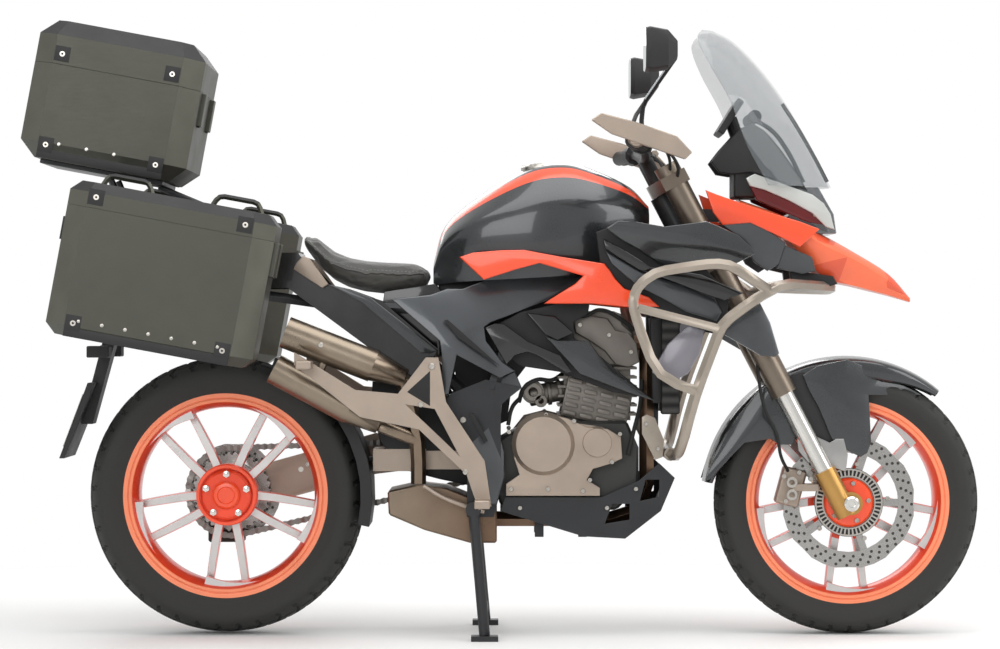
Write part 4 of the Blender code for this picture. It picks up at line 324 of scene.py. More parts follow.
def simpleFinish(name, colour, roughness, metallic, grainMm, bump, tone, more=None, stretch=(1, 1, 1)):
    material, shader = newMaterial(name, colour, roughness, metallic, more)
    weather(material, shader, colour, grainMm, bump, tone, roughness, stretch)
    return material


finishHex = {
    "bodyGrey": "#45484b", "accentOrange": "#f04a1c", "beakOrange": "#ec6a42", "champagne": "#a5978a",
    "crashBar": "#9d9387", "caseSheet": "#4b4b44", "tyre": "#2b2b29",
    "spokeFace": "#c9c6c4", "seatCover": "#34332f", "silencer": "#8d8172", "goldLug": "#b98f52",
    "frame": "#2c2d2f", "engine": "#3a3a39", "plastic": "#1d1d1d",
}

# sprayed metallic paint: dark, with bright flakes of 0.4 mm under a glassy coat, drawn at 1.2 mm to show
bodyPaint = simpleFinish("metallicPaintSprayed", finishHex["bodyGrey"], 0.34, 0.55, 1.2, 0.05, 0.10,
                         {"Coat Weight": 0.7, "Coat Roughness": 0.08})
# the same paint in graphite: darker, and a little glossier
darkPaint = simpleFinish("metallicPaintGraphite", "#333537", 0.30, 0.5, 1.2, 0.05, 0.10,
                         {"Coat Weight": 0.8, "Coat Roughness": 0.06})
# injection-moulded ABS, dyed and clear coated: even colour and a soft highlight
orangePlastic = simpleFinish("absClearCoated", finishHex["accentOrange"], 0.34, 0.0, 2.5, 0.04, 0.05,
                             {"Coat Weight": 0.6, "Coat Roughness": 0.10})
# ABS from a polished mould: black, with sharp and slightly wavy reflections
blackGloss = simpleFinish("absGlossBlack", "#141415", 0.16, 0.0, 3.0, 0.03, 0.15, {"Coat Weight": 0.5})
# ABS sprayed silver: pale and faintly lilac beside the warm metals, with a soft gloss
cheekPlastic = simpleFinish("absSilverLilac", "#85838a", 0.34, 0.25, 1.2, 0.05, 0.07, {"Coat Weight": 0.4})
# moulded polypropylene with a 0.8 mm spark-eroded grain: dull charcoal, its highlights broken up
blackGrained = simpleFinish("polypropyleneGrained", finishHex["plastic"], 0.58, 0.0, 0.8, 0.35, 0.14)
# painted shade: the grained plastic drawn nearly black, with hardly any highlight, for the bike's hollows and
# openings; behind the covers partly real dark parts, partly painted shade
shadowPlastic = simpleFinish("paintedShadeDeepBlack", "#101011", 0.62, 0.0, 0.8, 0.25, 0.12)
# cast, blasted and champagne anodised aluminium: warm satin metal with a sandy grain
champagneCast = simpleFinish("aluminiumAnodisedChampagne", finishHex["champagne"], 0.42, 0.75, 0.9, 0.22, 0.07)
# powder-coated steel tube: smooth satin champagne, its highlight softened by orange peel
barPowder = simpleFinish("steelPowderCoatedChampagne", finishHex["crashBar"], 0.36, 0.7, 1.4, 0.10, 0.06,
                         {"Coat Weight": 0.25})
# the same coat in black on the frame: dark satin with a fine orange peel
framePowder = simpleFinish("steelPowderCoatedDark", finishHex["frame"], 0.42, 0.35, 1.2, 0.16, 0.12)
# die-cast aluminium, painted: dark and dull, with the rough skin of the casting
engineCast = simpleFinish("aluminiumDieCastPainted", finishHex["engine"], 0.5, 0.5, 1.6, 0.35, 0.14)
# die-cast aluminium left bare: mid grey, half bright, sandy
greyCast = simpleFinish("aluminiumDieCastGrey", "#77726c", 0.46, 0.7, 1.4, 0.3, 0.12)
# machined aluminium: pale, clean metal with a satin shine
stripMetal = simpleFinish("aluminiumMachined", "#a9a8a6", 0.36, 1.0, 1.0, 0.06, 0.08)
# zinc-plated steel: bright points of cold light on the screws
zincSteel = simpleFinish("steelZincPlated", "#b9b5ae", 0.28, 1.0, 1.0, 0.08, 0.08)
# hard-chromed steel: a clean mirror
chromeTube = simpleFinish("steelHardChromed", "#d6d4cf", 0.08, 1.0, 2.0, 0.01, 0.03)
# rolled and oiled steel: grey links with a greasy shine
chainSteel = simpleFinish("steelRolledOiled", "#8a8783", 0.34, 1.0, 0.9, 0.2, 0.12)
# moulded rubber: soft dull black, no clear reflection
gripRubber = simpleFinish("rubberMouldedBlack", "#191918", 0.75, 0.0, 0.7, 0.3, 0.12)
# vulcanised tyre rubber: dusty grey-black with a fine mould grain
tyreRubber = simpleFinish("rubberVulcanisedTread", finishHex["tyre"], 0.78, 0.0, 0.9, 0.35, 0.12)
# moulded polycarbonate, dyed: deep glassy red
redLens = simpleFinish("polycarbonateRed", "#9c1410", 0.16, 0.0, 3.0, 0.05, 0.08, {"Coat Weight": 0.6})
deepRedGloss = simpleFinish("polycarbonateDeepRed", "#5e0f12", 0.10, 0.0, 1.0, 0.0, 0.1)
# frosted polycarbonate: milky white under a hard gloss
lampShell = simpleFinish("polycarbonateFrosted", "#b9bcb8", 0.10, 0.1, 1.0, 0.0, 0.08, {"Coat Weight": 1.0})
# silvered glass: a cool mirror
mirrorGlass = simpleFinish("glassSilvered", "#c9ced2", 0.03, 1.0, 3.0, 0.0, 0.02)
# enamelled aluminium, left blank: even satin white
whitePlate = simpleFinish("aluminiumEnamelledBlank", "#d5d5d2", 0.35, 0.1, 2.0, 0.04, 0.03)
# painted highlight on the rim's lips, where the light catches them: the same powder coat drawn pale coral
lipHighlightPaint = simpleFinish("powderCoatPaintedHighlight", "#f2875f", 0.34, 0.1, 1.2, 0.05, 0.06, {"Coat Weight": 0.4})
# extruded and anodised corner strips on the cases: a lighter olive line, drawn along its length
stripSheet = simpleFinish("aluminiumExtrudedCorner", "#5d5d54", 0.42, 0.6, 1.0, 0.08, 0.10, {}, (1, 1, 8))
# bonded polyester thread: pale, matt dashes on the seat
threadGrey = simpleFinish("polyesterThread", "#8b8b86", 0.7, 0.0, 0.6, 0.2, 0.1)
print("plain finishes made")


def caseSheetFinish():
    # 1.5 mm aluminium sheet, brushed along the case and dark anodised: long fine streaks
    material, shader = newMaterial("aluminiumBrushedAnodised", finishHex["caseSheet"], 0.45, 0.65)
    weather(material, shader, finishHex["caseSheet"], 1.2, 0.10, 0.09, 0.45, (0.05, 1.0, 1.0))
    return material


def silencerFinish():
    # stainless steel, brushed round the can and tinted by heat towards its front
    material, shader = newMaterial("stainlessBrushedTinted", finishHex["silencer"], 0.33, 0.95)
    ahead = addNode(material, "SeparateXYZ", {0: objectCoords(material)}, "X")
    low, high = rearAxle.x + 0.30, rearAxle.x + 0.60
    heat = addNode(material, "MapRange", {0: ahead, 1: low, 2: high, 3: 0.0, 4: 0.75}, 0)
    colour = addNode(material, "Mix", {"data_type": "RGBA", 0: heat, 6: finishHex["silencer"], 7: "#6b4f3c"}, 2)
    weather(material, shader, colour, 1.0, 0.12, 0.10, 0.33, (1.0, 0.2, 0.2))
    return material


def wheelFinish(name, axle, faceLow, faceHigh, paint):
    # orange-red powder coat all over; spoke fronts turned bright on a lathe, so only faces
    # that look sideways between two radii are bare metal
    material, shader = newMaterial(name, paint, 0.35, 0.3, {"Coat Weight": 0.4})
    flat = objectCoords(material, tuple(axle), (1, 0, 1))
    radius = addNode(material, "VectorMath", {"operation": "LENGTH", 0: flat}, "Value")
    sideways = addNode(material, "SeparateXYZ", {0: addNode(material, "NewGeometry", {}, "Normal")}, "Y")
    sideways = addNode(material, "Math", {"operation": "ABSOLUTE", 0: sideways}, 0)
    facing = addNode(material, "MapRange", {0: sideways, 1: 0.90, 2: 0.94, 3: 0.0, 4: 1.0}, 0)
    above = addNode(material, "MapRange", {0: radius, 1: faceLow - 0.0015, 2: faceLow, 3: 0.0, 4: 1.0}, 0)
    below = addNode(material, "MapRange", {0: radius, 1: faceHigh, 2: faceHigh + 0.0015, 3: 1.0, 4: 0.0}, 0)
    band = addNode(material, "Math", {"operation": "MULTIPLY", 0: above, 1: below}, 0)
    bare = addNode(material, "Math", {"operation": "MULTIPLY", 0: facing, 1: band}, 0)
    colour = addNode(material, "Mix", {"data_type": "RGBA", 0: bare, 6: paint, 7: finishHex["spokeFace"]}, 2)
    weather(material, shader, colour, 1.3, 0.06, 0.05, 0.33)
    metal = addNode(material, "MapRange", {0: bare, 1: 0.0, 2: 1.0, 3: 0.25, 4: 0.9}, 0)
    material.node_tree.links.new(metal, shader.inputs["Metallic"])
    return material


def discFinish(name, axle, holeRing, holeCount, holeRadius):
    # ground stainless steel: rings left by the grinding stone, with drilled rows drawn dark: the holes are
    # real, their dark grey is painted shade inside them
    material, shader = newMaterial(name, "#a9a7a4", 0.26, 1.0)
    flat = objectCoords(material, tuple(axle), (1, 0, 1))
    radius = addNode(material, "VectorMath", {"operation": "LENGTH", 0: flat}, "Value")
    grind = addNode(material, "TexNoise", {"noise_dimensions": "1D", "Scale": 900.0, "Detail": 2.0,
                                           "W": radius}, "Fac")
    parts = addNode(material, "SeparateXYZ", {0: flat})
    angle = addNode(material, "Math", {"operation": "ARCTAN2", 0: parts["Z"], 1: parts["X"]}, 0)
    dark = None
    for index, ring in enumerate(holeRing):
        # metres along the ring from the nearest hole's middle, then metres outwards from it
        across = angle
        for operation, value in (("MULTIPLY", holeCount / (2 * math.pi)), ("ADD", 10.0 + index / len(holeRing)),
                                 ("FRACT", 0.0), ("SUBTRACT", 0.5),
                                 ("MULTIPLY", 2 * math.pi * ring / holeCount)):
            across = addNode(material, "Math", {"operation": operation, 0: across, 1: value}, 0)
        outward = addNode(material, "Math", {"operation": "SUBTRACT", 0: radius, 1: ring}, 0)
        across = addNode(material, "Math", {"operation": "MULTIPLY", 0: across, 1: across}, 0)
        outward = addNode(material, "Math", {"operation": "MULTIPLY", 0: outward, 1: outward}, 0)
        distance = addNode(material, "Math", {"operation": "ADD", 0: across, 1: outward}, 0)
        distance = addNode(material, "Math", {"operation": "SQRT", 0: distance}, 0)
        hole = addNode(material, "MapRange", {0: distance, 1: holeRadius, 2: holeRadius + 0.0006, 3: 1.0,
                                              4: 0.0}, 0)
        dark = addNode(material, "Math", {"operation": "MAXIMUM", 0: dark, 1: hole}, 0) if dark else hole
    colour = addNode(material, "Mix", {"data_type": "RGBA", 0: grind, 6: "#8d8b88", 7: "#bdbbb7"}, 2)
    # painted shade: the holes drawn dark grey instead of cut
    colour = addNode(material, "Mix", {"data_type": "RGBA", 0: dark, 6: colour, 7: "#4e4c4a"}, 2)
    weather(material, shader, colour, 1.0, 0.05, 0.05, 0.27)
    return material


def forkFinish():
    # one casting line: dark anodised sliders and clamps, hard-chromed tubes, gold-anodised axle lugs
    material, shader = newMaterial("forkTubesFinished", "#6f675e", 0.35, 0.8)
    coords = objectCoords(material, tuple(onSteering(0.545, 0.030)))
    rise = addNode(material, "VectorMath", {"operation": "DOT_PRODUCT", 0: coords, 1: tuple(steerUp)}, "Value")
    upper = addNode(material, "MapRange", {0: rise, 1: -0.001, 2: 0.001, 3: 0.0, 4: 1.0}, 0)
    lug = addNode(material, "MapRange", {0: rise, 1: -0.193, 2: -0.191, 3: 1.0, 4: 0.0}, 0)
    colour = addNode(material, "Mix", {"data_type": "RGBA", 0: upper, 6: "#d2d0cb", 7: "#7b7064"}, 2)
    colour = addNode(material, "Mix", {"data_type": "RGBA", 0: lug, 6: colour, 7: finishHex["goldLug"]}, 2)
    weather(material, shader, colour, 1.0, 0.08, 0.06, 0.30)
    notUpper = addNode(material, "Math", {"operation": "SUBTRACT", 0: 1.0, 1: upper}, 0)
    notLug = addNode(material, "Math", {"operation": "SUBTRACT", 0: 1.0, 1: lug}, 0)
    chrome = addNode(material, "Math", {"operation": "MULTIPLY", 0: notUpper, 1: notLug}, 0)
    gloss = addNode(material, "MapRange", {0: chrome, 1: 0.0, 2: 1.0, 3: 0.36, 4: 0.09}, 0)
    material.node_tree.links.new(gloss, shader.inputs["Roughness"])
    return material


def beakFinish():
    # dyed ABS with a printed pattern of large flat facets, tone on tone
    material, shader = newMaterial("absFacetPrinted", finishHex["beakOrange"], 0.4, 0.0, {"Coat Weight": 0.35})
    coords = objectCoords(material, (0, 0, 0), (0.8, 0.5, 1.4), (0, 0.5, 0))
    cells = addNode(material, "TexVoronoi", {"Scale": 15.0, "Randomness": 1.0, "Vector": coords}, "Color")
    shade = addNode(material, "SeparateXYZ", {0: cells}, "X")
    step = addNode(material, "MapRange", {0: shade, 1: 0.55, 2: 0.56, 3: 0.0, 4: 1.0}, 0)
    colour = addNode(material, "Mix", {"data_type": "RGBA", 0: step, 6: finishHex["beakOrange"], 7: "#d9502c"},
                     2)
    weather(material, shader, colour, 2.5, 0.05, 0.05, 0.4)
    return material


def seatFinish():
    # embossed vinyl: 1.5 mm pebble grain, satin, paler where it is rubbed
    material, shader = newMaterial("vinylEmbossedSeat", finishHex["seatCover"], 0.6, 0.0,
                                   {"Sheen Weight": 0.15})
    coords = objectCoords(material)
    cells = addNode(material, "TexVoronoi", {"Scale": 1000 / 1.8, "Randomness": 1.0, "Vector": coords},
                    "Distance")
    normal = weather(material, shader, finishHex["seatCover"], 1.5, 0.2, 0.12, 0.58)
    pebble = addNode(material, "Bump", {"Strength": 0.5, "Distance": 0.0004, "Height": cells, "Normal": normal},
                     0)
    material.node_tree.links.new(pebble, shader.inputs["Normal"])
    return material


def clearFinish(name, tint, alpha, roughness):
    # clear or smoke-tinted moulded sheet: seen through, with a hard surface gloss
    material, shader = newMaterial(name, tint, roughness, 0.0,
                                   {"Alpha": alpha, "Coat Weight": 0.6, "IOR": 1.49})
    weather(material, shader, tint, 3.0, 0.02, 0.04, roughness)
    return material


def radiatorFinish():
    # folded aluminium fins every 3 mm between flat tubes every 12 mm, black lacquered
    material, shader = newMaterial("radiatorCoreLacquered", "#2b2b2a", 0.5, 0.5)
    bands = []
    for pitchMm, direction in ((3.0, "Y"), (12.0, "Z")):
        bands.append(addNode(material, "TexWave", {"Scale": 1000 / pitchMm / 6.28, "bands_direction": direction,
                                                   "Vector": objectCoords(material)}, "Fac"))
    weave = addNode(material, "Math", {"operation": "MULTIPLY", 0: bands[0], 1: bands[1]}, 0)
    colour = addNode(material, "Mix", {"data_type": "RGBA", 0: weave, 6: "#121212", 7: "#4a4947"}, 2)
    normal = weather(material, shader, colour, 1.5, 0.15, 0.1, 0.5)
    ribs = addNode(material, "Bump", {"Strength": 0.8, "Distance": 0.001, "Height": weave, "Normal": normal}, 0)
    material.node_tree.links.new(ribs, shader.inputs["Normal"])
    return material


caseSheet = caseSheetFinish()
silencerSteel = silencerFinish()
rearWheelPaint = wheelFinish("aluminiumCastTurnedRear", rearAxle, 0.060, 0.205, "#e8431c")
frontWheelPaint = wheelFinish("aluminiumCastTurnedFront", frontAxle, 0.088, 0.205, "#e8431c")
frontDiscSteel = discFinish("stainlessGroundFront", frontAxle, [0.122, 0.132, 0.142], 36, 0.0031)
rearDiscSteel = discFinish("stainlessGroundRear", rearAxle, [0.088, 0.098], 30, 0.0030)
forkMetal = forkFinish()
beakPlastic = beakFinish()
seatVinyl = seatFinish()
# moulded acrylic, smoke tinted: the rider's side shows through, greyed
smokeScreen = clearFinish("acrylicSmokeScreen", "#7c8387", 0.24, 0.04)
# moulded polycarbonate: dark lamp insides behind a hard gloss
lampLens = clearFinish("polycarbonateLampLens", "#3c4246", 0.72, 0.05)
radiatorCore = radiatorFinish()
print("special finishes made")

nodeFinish = {
    "bash_plate": framePowder, "beak": beakPlastic, "centre_stand": framePowder, "chain": chainSteel,
    "clutch_cover": champagneCast, "crash_bars": barPowder, "display": blackGrained,
    "engine_block": engineCast, "engine_cylinder": greyCast, "exhaust": silencerSteel,
    "fairing_left": bodyPaint, "fairing_right": bodyPaint, "footrest_left": champagneCast,
    "footrest_right": champagneCast, "fork": forkMetal, "frame": framePowder, "front_caliper": champagneCast,
    "front_disc": frontDiscSteel, "front_mudguard": bodyPaint, "front_rim": frontWheelPaint,
    "front_tyre": tyreRubber, "handguard_left": champagneCast, "handguard_right": champagneCast,
    "handlebar": blackGrained, "headlamp": lampLens, "hugger": blackGrained, "left_lid": caseSheet,
    "luggage_carrier": framePowder, "mid_cover_left": bodyPaint, "mid_cover_right": bodyPaint,
    "mirror_left": blackGrained, "mirror_right": blackGrained, "pannier_left": caseSheet,
    "pannier_right": caseSheet, "plate_holder": blackGrained, "radiator": radiatorCore,
    "rear_caliper": engineCast, "rear_hub": rearDiscSteel, "rear_rim": rearWheelPaint,
    "rear_tyre": tyreRubber, "right_lid": caseSheet, "seat": seatVinyl, "side_panel_left": bodyPaint,
    "side_panel_right": bodyPaint, "silencers": silencerSteel, "swingarm": champagneCast,
    "tail_cowl": blackGloss, "tail_lamp": redLens, "tank": bodyPaint, "top_case": caseSheet,
    "top_lid": caseSheet, "windscreen": smokeScreen,
}
for nodeName, node in frame["nodes"].items():
    if node.material_slots:
        node.material_slots[0].material = nodeFinish[nodeName]
    else:
        node.data.materials.append(nodeFinish[nodeName])
print("carried-over parts finished")


def copyNode(nodeName):
    bm = bmesh.new()
    bm.from_mesh(frame["nodes"][nodeName].data)
    bmesh.ops.remove_doubles(bm, verts=bm.verts, dist=0.00002)
    bmesh.ops.dissolve_limit(bm, angle_limit=math.radians(0.6), verts=bm.verts, edges=bm.edges)
    bmesh.ops.dissolve_degenerate(bm, edges=bm.edges, dist=0.0002)
    return bm


def dressNode(nodeName, edgeMm, angle):
    node = frame["nodes"][nodeName]
    piece = finishPiece(nodeName + "_finished", copyNode(nodeName), nodeFinish[nodeName], node["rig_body"],
                        angle)
    if edgeMm:
        modifier = piece.modifiers.new("edges", "BEVEL")
        modifier.width = edgeMm / 1000
        modifier.segments = 2
        modifier.limit_method = "ANGLE"
        modifier.angle_limit = math.radians(angle)
        modifier.harden_normals = True
    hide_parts(nodeName)
    return piece


edgeTable = {
    # part: rounding in millimetres, angle from which an edge counts as an edge
    "bash_plate": (1.2, 30), "centre_stand": (1.0, 40), "clutch_cover": (2.0, 40), "crash_bars": (0.0, 45),
    "display": (1.5, 30), "engine_block": (3.0, 30), "engine_cylinder": (1.0, 30), "exhaust": (2.0, 35),
    "footrest_left": (1.5, 30), "footrest_right": (1.5, 30), "fork": (1.2, 40), "frame": (1.2, 42),
    "front_caliper": (2.5, 30), "front_disc": (0.4, 40), "handguard_left": (1.5, 35),
    "handguard_right": (1.5, 35), "handlebar": (0.0, 45), "hugger": (1.0, 35),
    "luggage_carrier": (0.8, 42), "mirror_left": (2.0, 35), "mirror_right": (2.0, 35),
    "plate_holder": (1.0, 30), "radiator": (1.5, 30), "rear_caliper": (2.5, 30), "rear_hub": (0.5, 40),
    "silencers": (0.0, 40), "swingarm": (3.0, 30), "tail_cowl": (2.0, 25), "tail_lamp": (2.0, 30),
    "top_case": (1.0, 25), "top_lid": (1.0, 25), "pannier_left": (1.0, 25), "pannier_right": (1.0, 25),
    "right_lid": (1.0, 25), "left_lid": (1.0, 25), "headlamp": (3.0, 30),
}
for nodeName, (edgeMm, angle) in edgeTable.items():
    dressNode(nodeName, edgeMm, angle)
print("carried-over parts rounded")


# Tyres: one turned profile each, with the tread's grooves pressed in
tyreSettings = {
    "front": {"node": "front_tyre", "blocks": 42, "stepsPerBlock": 14, "beadRadius": 0.2228,
              "grooveDepth": 0.0050, "slant": 0.32},
    "rear": {"node": "rear_tyre", "blocks": 40, "stepsPerBlock": 15, "beadRadius": 0.2228,
             "grooveDepth": 0.0055, "slant": 0.28},
}
tyreShape = [(0.00, 0.765), (0.02, 0.80), (0.10, 0.845), (0.23, 0.90), (0.42, 0.985), (0.62, 1.00),
             (0.74, 0.91),
             (0.83, 0.755), (0.905, 0.57), (0.955, 0.38), (0.988, 0.19), (1.00, 0.0)]


def grooveShare(values, turnShare, across):
    # how deep the tread is at a place: 0 on a block, 1 in a groove
    side = 1 if across > 0 else -1
    reach = abs(across)
    blocks = turnShare * values["blocks"]
    zigzag = abs((blocks % 1.0) - 0.5) * 2
    if reach > 0.90:
        return 0.0
    if abs(reach - (0.17 + 0.05 * zigzag)) < 0.035 or abs(reach - (0.52 + 0.05 * zigzag)) < 0.032:
        return 1.0
    if reach < 0.19:
        place, width = blocks + across * values["slant"] * 2, 0.16
    elif reach < 0.54:
        place, width = blocks + 0.45 + side * 0.1 + reach * values["slant"] * 2, 0.17
    else:
        place, width = blocks + 0.15 + side * 0.2 - reach * values["slant"], 0.20
    return 1.0 if place % 1.0 < width else 0.0


def makeTyre(name, values):
    low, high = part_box(values["node"])
    axle, radius, half = (low + high) / 2, (high.z - low.z) / 2, (high.y - low.y) / 2
    depth = radius - values["beadRadius"]
    spanned = [(values["beadRadius"] + depth * up, half * out) for up, out in tyreShape]
    curved = [(point.x, point.y) for point in curveThrough([(r, y, 0) for r, y in spanned[3:]], 5)]
    near = [(spanned[0][0] + 0.004, half * 0.70), *spanned[:3], *curved]
    far = [(r, -y) for r, y in reversed(near[:-1])]
    bm = bmesh.new()
    steps = values["blocks"] * values["stepsPerBlock"]
    made = addTurned(bm, [(r, -y) for r, y in near + far], steps)
    for vert in made:
        reach = math.hypot(vert.co.x, vert.co.y)
        across = vert.co.z / half
        if reach < values["beadRadius"] + depth * 0.70:
            continue
        share = grooveShare(values, (math.atan2(vert.co.y, vert.co.x) / (2 * math.pi)) % 1.0, across)
        if share:
            inward = Vector((vert.co.x, vert.co.y, vert.co.z * 0.45)).normalized()
            vert.co -= inward * values["grooveDepth"]
    bmesh.ops.transform(bm, matrix=aimed(axle, (0, 1, 0)), verts=made)
    node = frame["nodes"][values["node"]]
    piece = finishPiece(name, bm, tyreRubber, node["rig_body"], 32)
    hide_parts(values["node"])


for side, values in tyreSettings.items():
    makeTyre(side + "TyreTread", values)
print("tyres made")


# Cast wheels: barrel and lip, split spokes with a foot that runs along the rim, hub
rimSettings = {
    "front": {"node": "front_rim", "axle": frontAxle, "half": 0.0504, "hub": 0.045, "hubHalf": 0.046,
              "bore": 0.0123, "paint": frontWheelPaint},
    "rear": {"node": "rear_rim", "axle": rearAxle, "half": 0.0672, "hub": 0.070, "hubHalf": 0.046,
             "bore": 0.0, "paint": rearWheelPaint},
}
spokeSettings = {"count": 5, "first": math.radians(-90), "rootSpread": 0.030, "tipSpread": 0.082,
                 "rootWidth": 0.019, "tipWidth": 0.015, "tipRadius": 0.203, "depth": 0.038, "footTurn": 0.44,
                 "footBack": 0.24}


def addSpokeLeg(bm, angle, side, rootRadius, values):
    rings = []
    for way in (0.0, 0.35, 0.7, 1.0):
        radius = rootRadius + (values["tipRadius"] - rootRadius) * way
        middle = side * (values["rootSpread"] + (values["tipSpread"] - values["rootSpread"]) * way ** 0.8) / 2
        wide = values["rootWidth"] + (values["tipWidth"] - values["rootWidth"]) * way
        thick = values["depth"] * (1 - 0.22 * way)
        ring = [(radius, -thick / 2, middle - wide / 2), (radius, -thick / 2, middle + wide / 2),
                (radius, 0.0, middle + wide * 0.62), (radius, thick / 2, middle + wide / 2),
                (radius, thick / 2, middle - wide / 2), (radius, 0.0, middle - wide * 0.62)]
        rings.append(ring)
    made = addLoft(bm, rings)
    bmesh.ops.rotate(bm, matrix=Matrix.Rotation(-angle, 3, "Y"), verts=made)


def addSpokeFoot(bm, angle, faceY, values):
    # a flat wedge on the rim's inner side, wide at the clockwise leg and drawn out to a point
    start = angle - values["footBack"]
    outlines = []
    for index in range(13):
        way = index / 12
        turn = start + (values["footTurn"] + values["footBack"]) * way
        thick = 0.020 * (1 - way) ** 1.2 + 0.0015
        outlines.append([(radius * math.cos(turn), y, radius * math.sin(turn)) for radius, y in
                         ((0.2085, faceY + 0.020), (0.2085, faceY), (0.2085 - thick, faceY),
                          (0.2085 - thick, faceY + 0.020))])
    addLoft(bm, outlines)


def makeRim(name, values):
    half = values["half"]
    profile = [(0.2315, half), (0.2315, half - 0.0045), (0.2240, half - 0.0068), (0.2222, half - 0.0100),
               (0.2222, half * 0.55), (0.2120, half * 0.35), (0.2120, -half * 0.35), (0.2222, -half * 0.55),
               (0.2222, 0.0100 - half), (0.2240, 0.0068 - half), (0.2315, 0.0045 - half), (0.2315, -half),
               (0.2290, -half), (0.2215, 0.0010 - half), (0.2205, 0.0030 - half),
               (0.2190, 0.0030 - half), (0.2180, 0.0004 - half), (0.2120, 0.0006 - half),
               (0.2105, 0.0030 - half), (0.2010, half * 0.45 - half), (0.1985, half * 0.62 - half),
               (0.1975, 0.0), (0.1985, half - half * 0.62), (0.2010, half - half * 0.45),
               (0.2105, half - 0.0030), (0.2120, half - 0.0006), (0.2180, half - 0.0004),
               (0.2190, half - 0.0030), (0.2205, half - 0.0030), (0.2215, half - 0.0010), (0.2290, half)]
    bm = bmesh.new()
    barrel = addTurned(bm, [(r, -y) for r, y in profile], 144)
    inner, hubHalf, hubRadius = values["bore"] + 0.0001, values["hubHalf"], values["hub"]
    hub = [(inner, hubHalf - 0.004), (hubRadius * 0.72, hubHalf), (hubRadius * 0.80, hubHalf - 0.003),
           (hubRadius * 0.84, hubHalf - 0.012), (hubRadius, hubHalf - 0.020), (hubRadius, 0.020 - hubHalf),
           (hubRadius * 0.84, 0.012 - hubHalf), (hubRadius * 0.80, 0.003 - hubHalf),
           (hubRadius * 0.72, -hubHalf), (inner, 0.004 - hubHalf)]
    nave = addTurned(bm, hub, 64)
    bmesh.ops.transform(bm, matrix=aimed((0, 0, 0), (0, 1, 0)), verts=barrel + nave)
    for index in range(spokeSettings["count"]):
        angle = spokeSettings["first"] + 2 * math.pi * index / spokeSettings["count"]
        for side in (-1, 1):
            addSpokeLeg(bm, angle, side, hubRadius * 0.7, spokeSettings)
        addSpokeFoot(bm, angle, -half + 0.014, spokeSettings)
    bmesh.ops.translate(bm, verts=bm.verts, vec=values["axle"])
    node = frame["nodes"][values["node"]]
    piece = finishPiece(name, bm, values["paint"], node["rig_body"], 30)
    modifier = piece.modifiers.new("edges", "BEVEL")
    modifier.width = 0.0009
    modifier.segments = 2
    modifier.limit_method = "ANGLE"
    modifier.angle_limit = math.radians(40)
    modifier.harden_normals = True
    # painted highlight: faces on the outer lips get the pale coral
    piece.data.materials.append(lipHighlightPaint)
    for polygon in piece.data.polygons:
        offset = polygon.center - values["axle"]
        if math.hypot(offset.x, offset.z) > 0.2100 and abs(offset.y) > half * 0.86:
            polygon.material_index = 1
    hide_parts(values["node"])


for side, values in rimSettings.items():
    makeRim(side + "WheelCast", values)
print("wheels made")


# Covers: places on them are read off the photograph, in columns and rows of its 1000 x 649 picture,
# with how far the piece stands out from the bike's middle
def seenAt(column, row, reach):
    scale = viewSettings["metresPerPixel"] * (1 - reach / viewSettings["cameraBack"])
    across, down = viewSettings["middle"]
    return (rearAxle.x + viewSettings["cameraX"] + (column - across) * scale,
            viewSettings["cameraHeight"] + (down - row) * scale)


def foldPanel(bm, start, end, slope):
    # bends a sheet inwards beyond a line, like a pressed crease
    start, end = Vector((start[0], 0, start[1])), Vector((end[0], 0, end[1]))
    normal = Vector((start.z - end.z, 0, end.x - start.x)).normalized()
    bmesh.ops.bisect_plane(bm, geom=bm.verts[:] + bm.edges[:] + bm.faces[:], dist=0.00001,
                           plane_co=start, plane_no=normal)
    for vert in bm.verts:
        past = (vert.co - start).dot(normal)
        if past > 0:
            vert.co.y += past * slope


def coverPair(name, values, body="chassis"):
    # the same cover on both sides, made on the right and mirrored
    reach = values["reach"]
    whole = bmesh.new()
    for part in values["outlines"]:
        bm = bmesh.new()
        points = [seenAt(column, row, reach) for column, row in part]
        holes = [[seenAt(column, row, reach) for column, row in hole] for hole in values.get("holes", [])]
        addPlate(bm, points, values["thickness"] - reach, -reach, values.get("soften", 0.003), 3, holes)
        for first, second, slope in values.get("folds", []):
            foldPanel(bm, seenAt(*first, reach), seenAt(*second, reach), slope)
        mesh = bpy.data.meshes.new("part")
        bm.to_mesh(mesh)
        whole.from_mesh(mesh)
        bpy.data.meshes.remove(mesh)
        bm.free()
    mirrorAcross(whole)
    piece = finishPiece(name, whole, values["material"], body, 22)
    if "replaces" in values:
        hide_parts(*values["replaces"])
    return piece


def grilleFinish(values):
    # moulded honeycomb: round cells a few millimetres apart, their insides painted near black as shade
    material, shader = newMaterial("absHoneycombMoulded", "#1c1d1e", 0.5)
    cells = addNode(material, "TexVoronoi", {"Scale": 1000 / values["cellMm"], "Randomness": 0.0,
                                             "Vector": objectCoords(material, turn=(math.radians(90), 0, 0))},
                    "Distance")
    edge = addNode(material, "MapRange", {0: cells, 1: 0.36, 2: 0.44, 3: 0.0, 4: 1.0}, 0)
    # painted shade inside the cells: near black, the cell walls dark grey
    colour = addNode(material, "Mix", {"data_type": "RGBA", 0: edge, 6: "#050505", 7: "#3f4143"}, 2)
    weather(material, shader, colour, 1.0, 0.1, 0.08, 0.5)
    return material


grilleMesh = grilleFinish({"cellMm": 7.0})

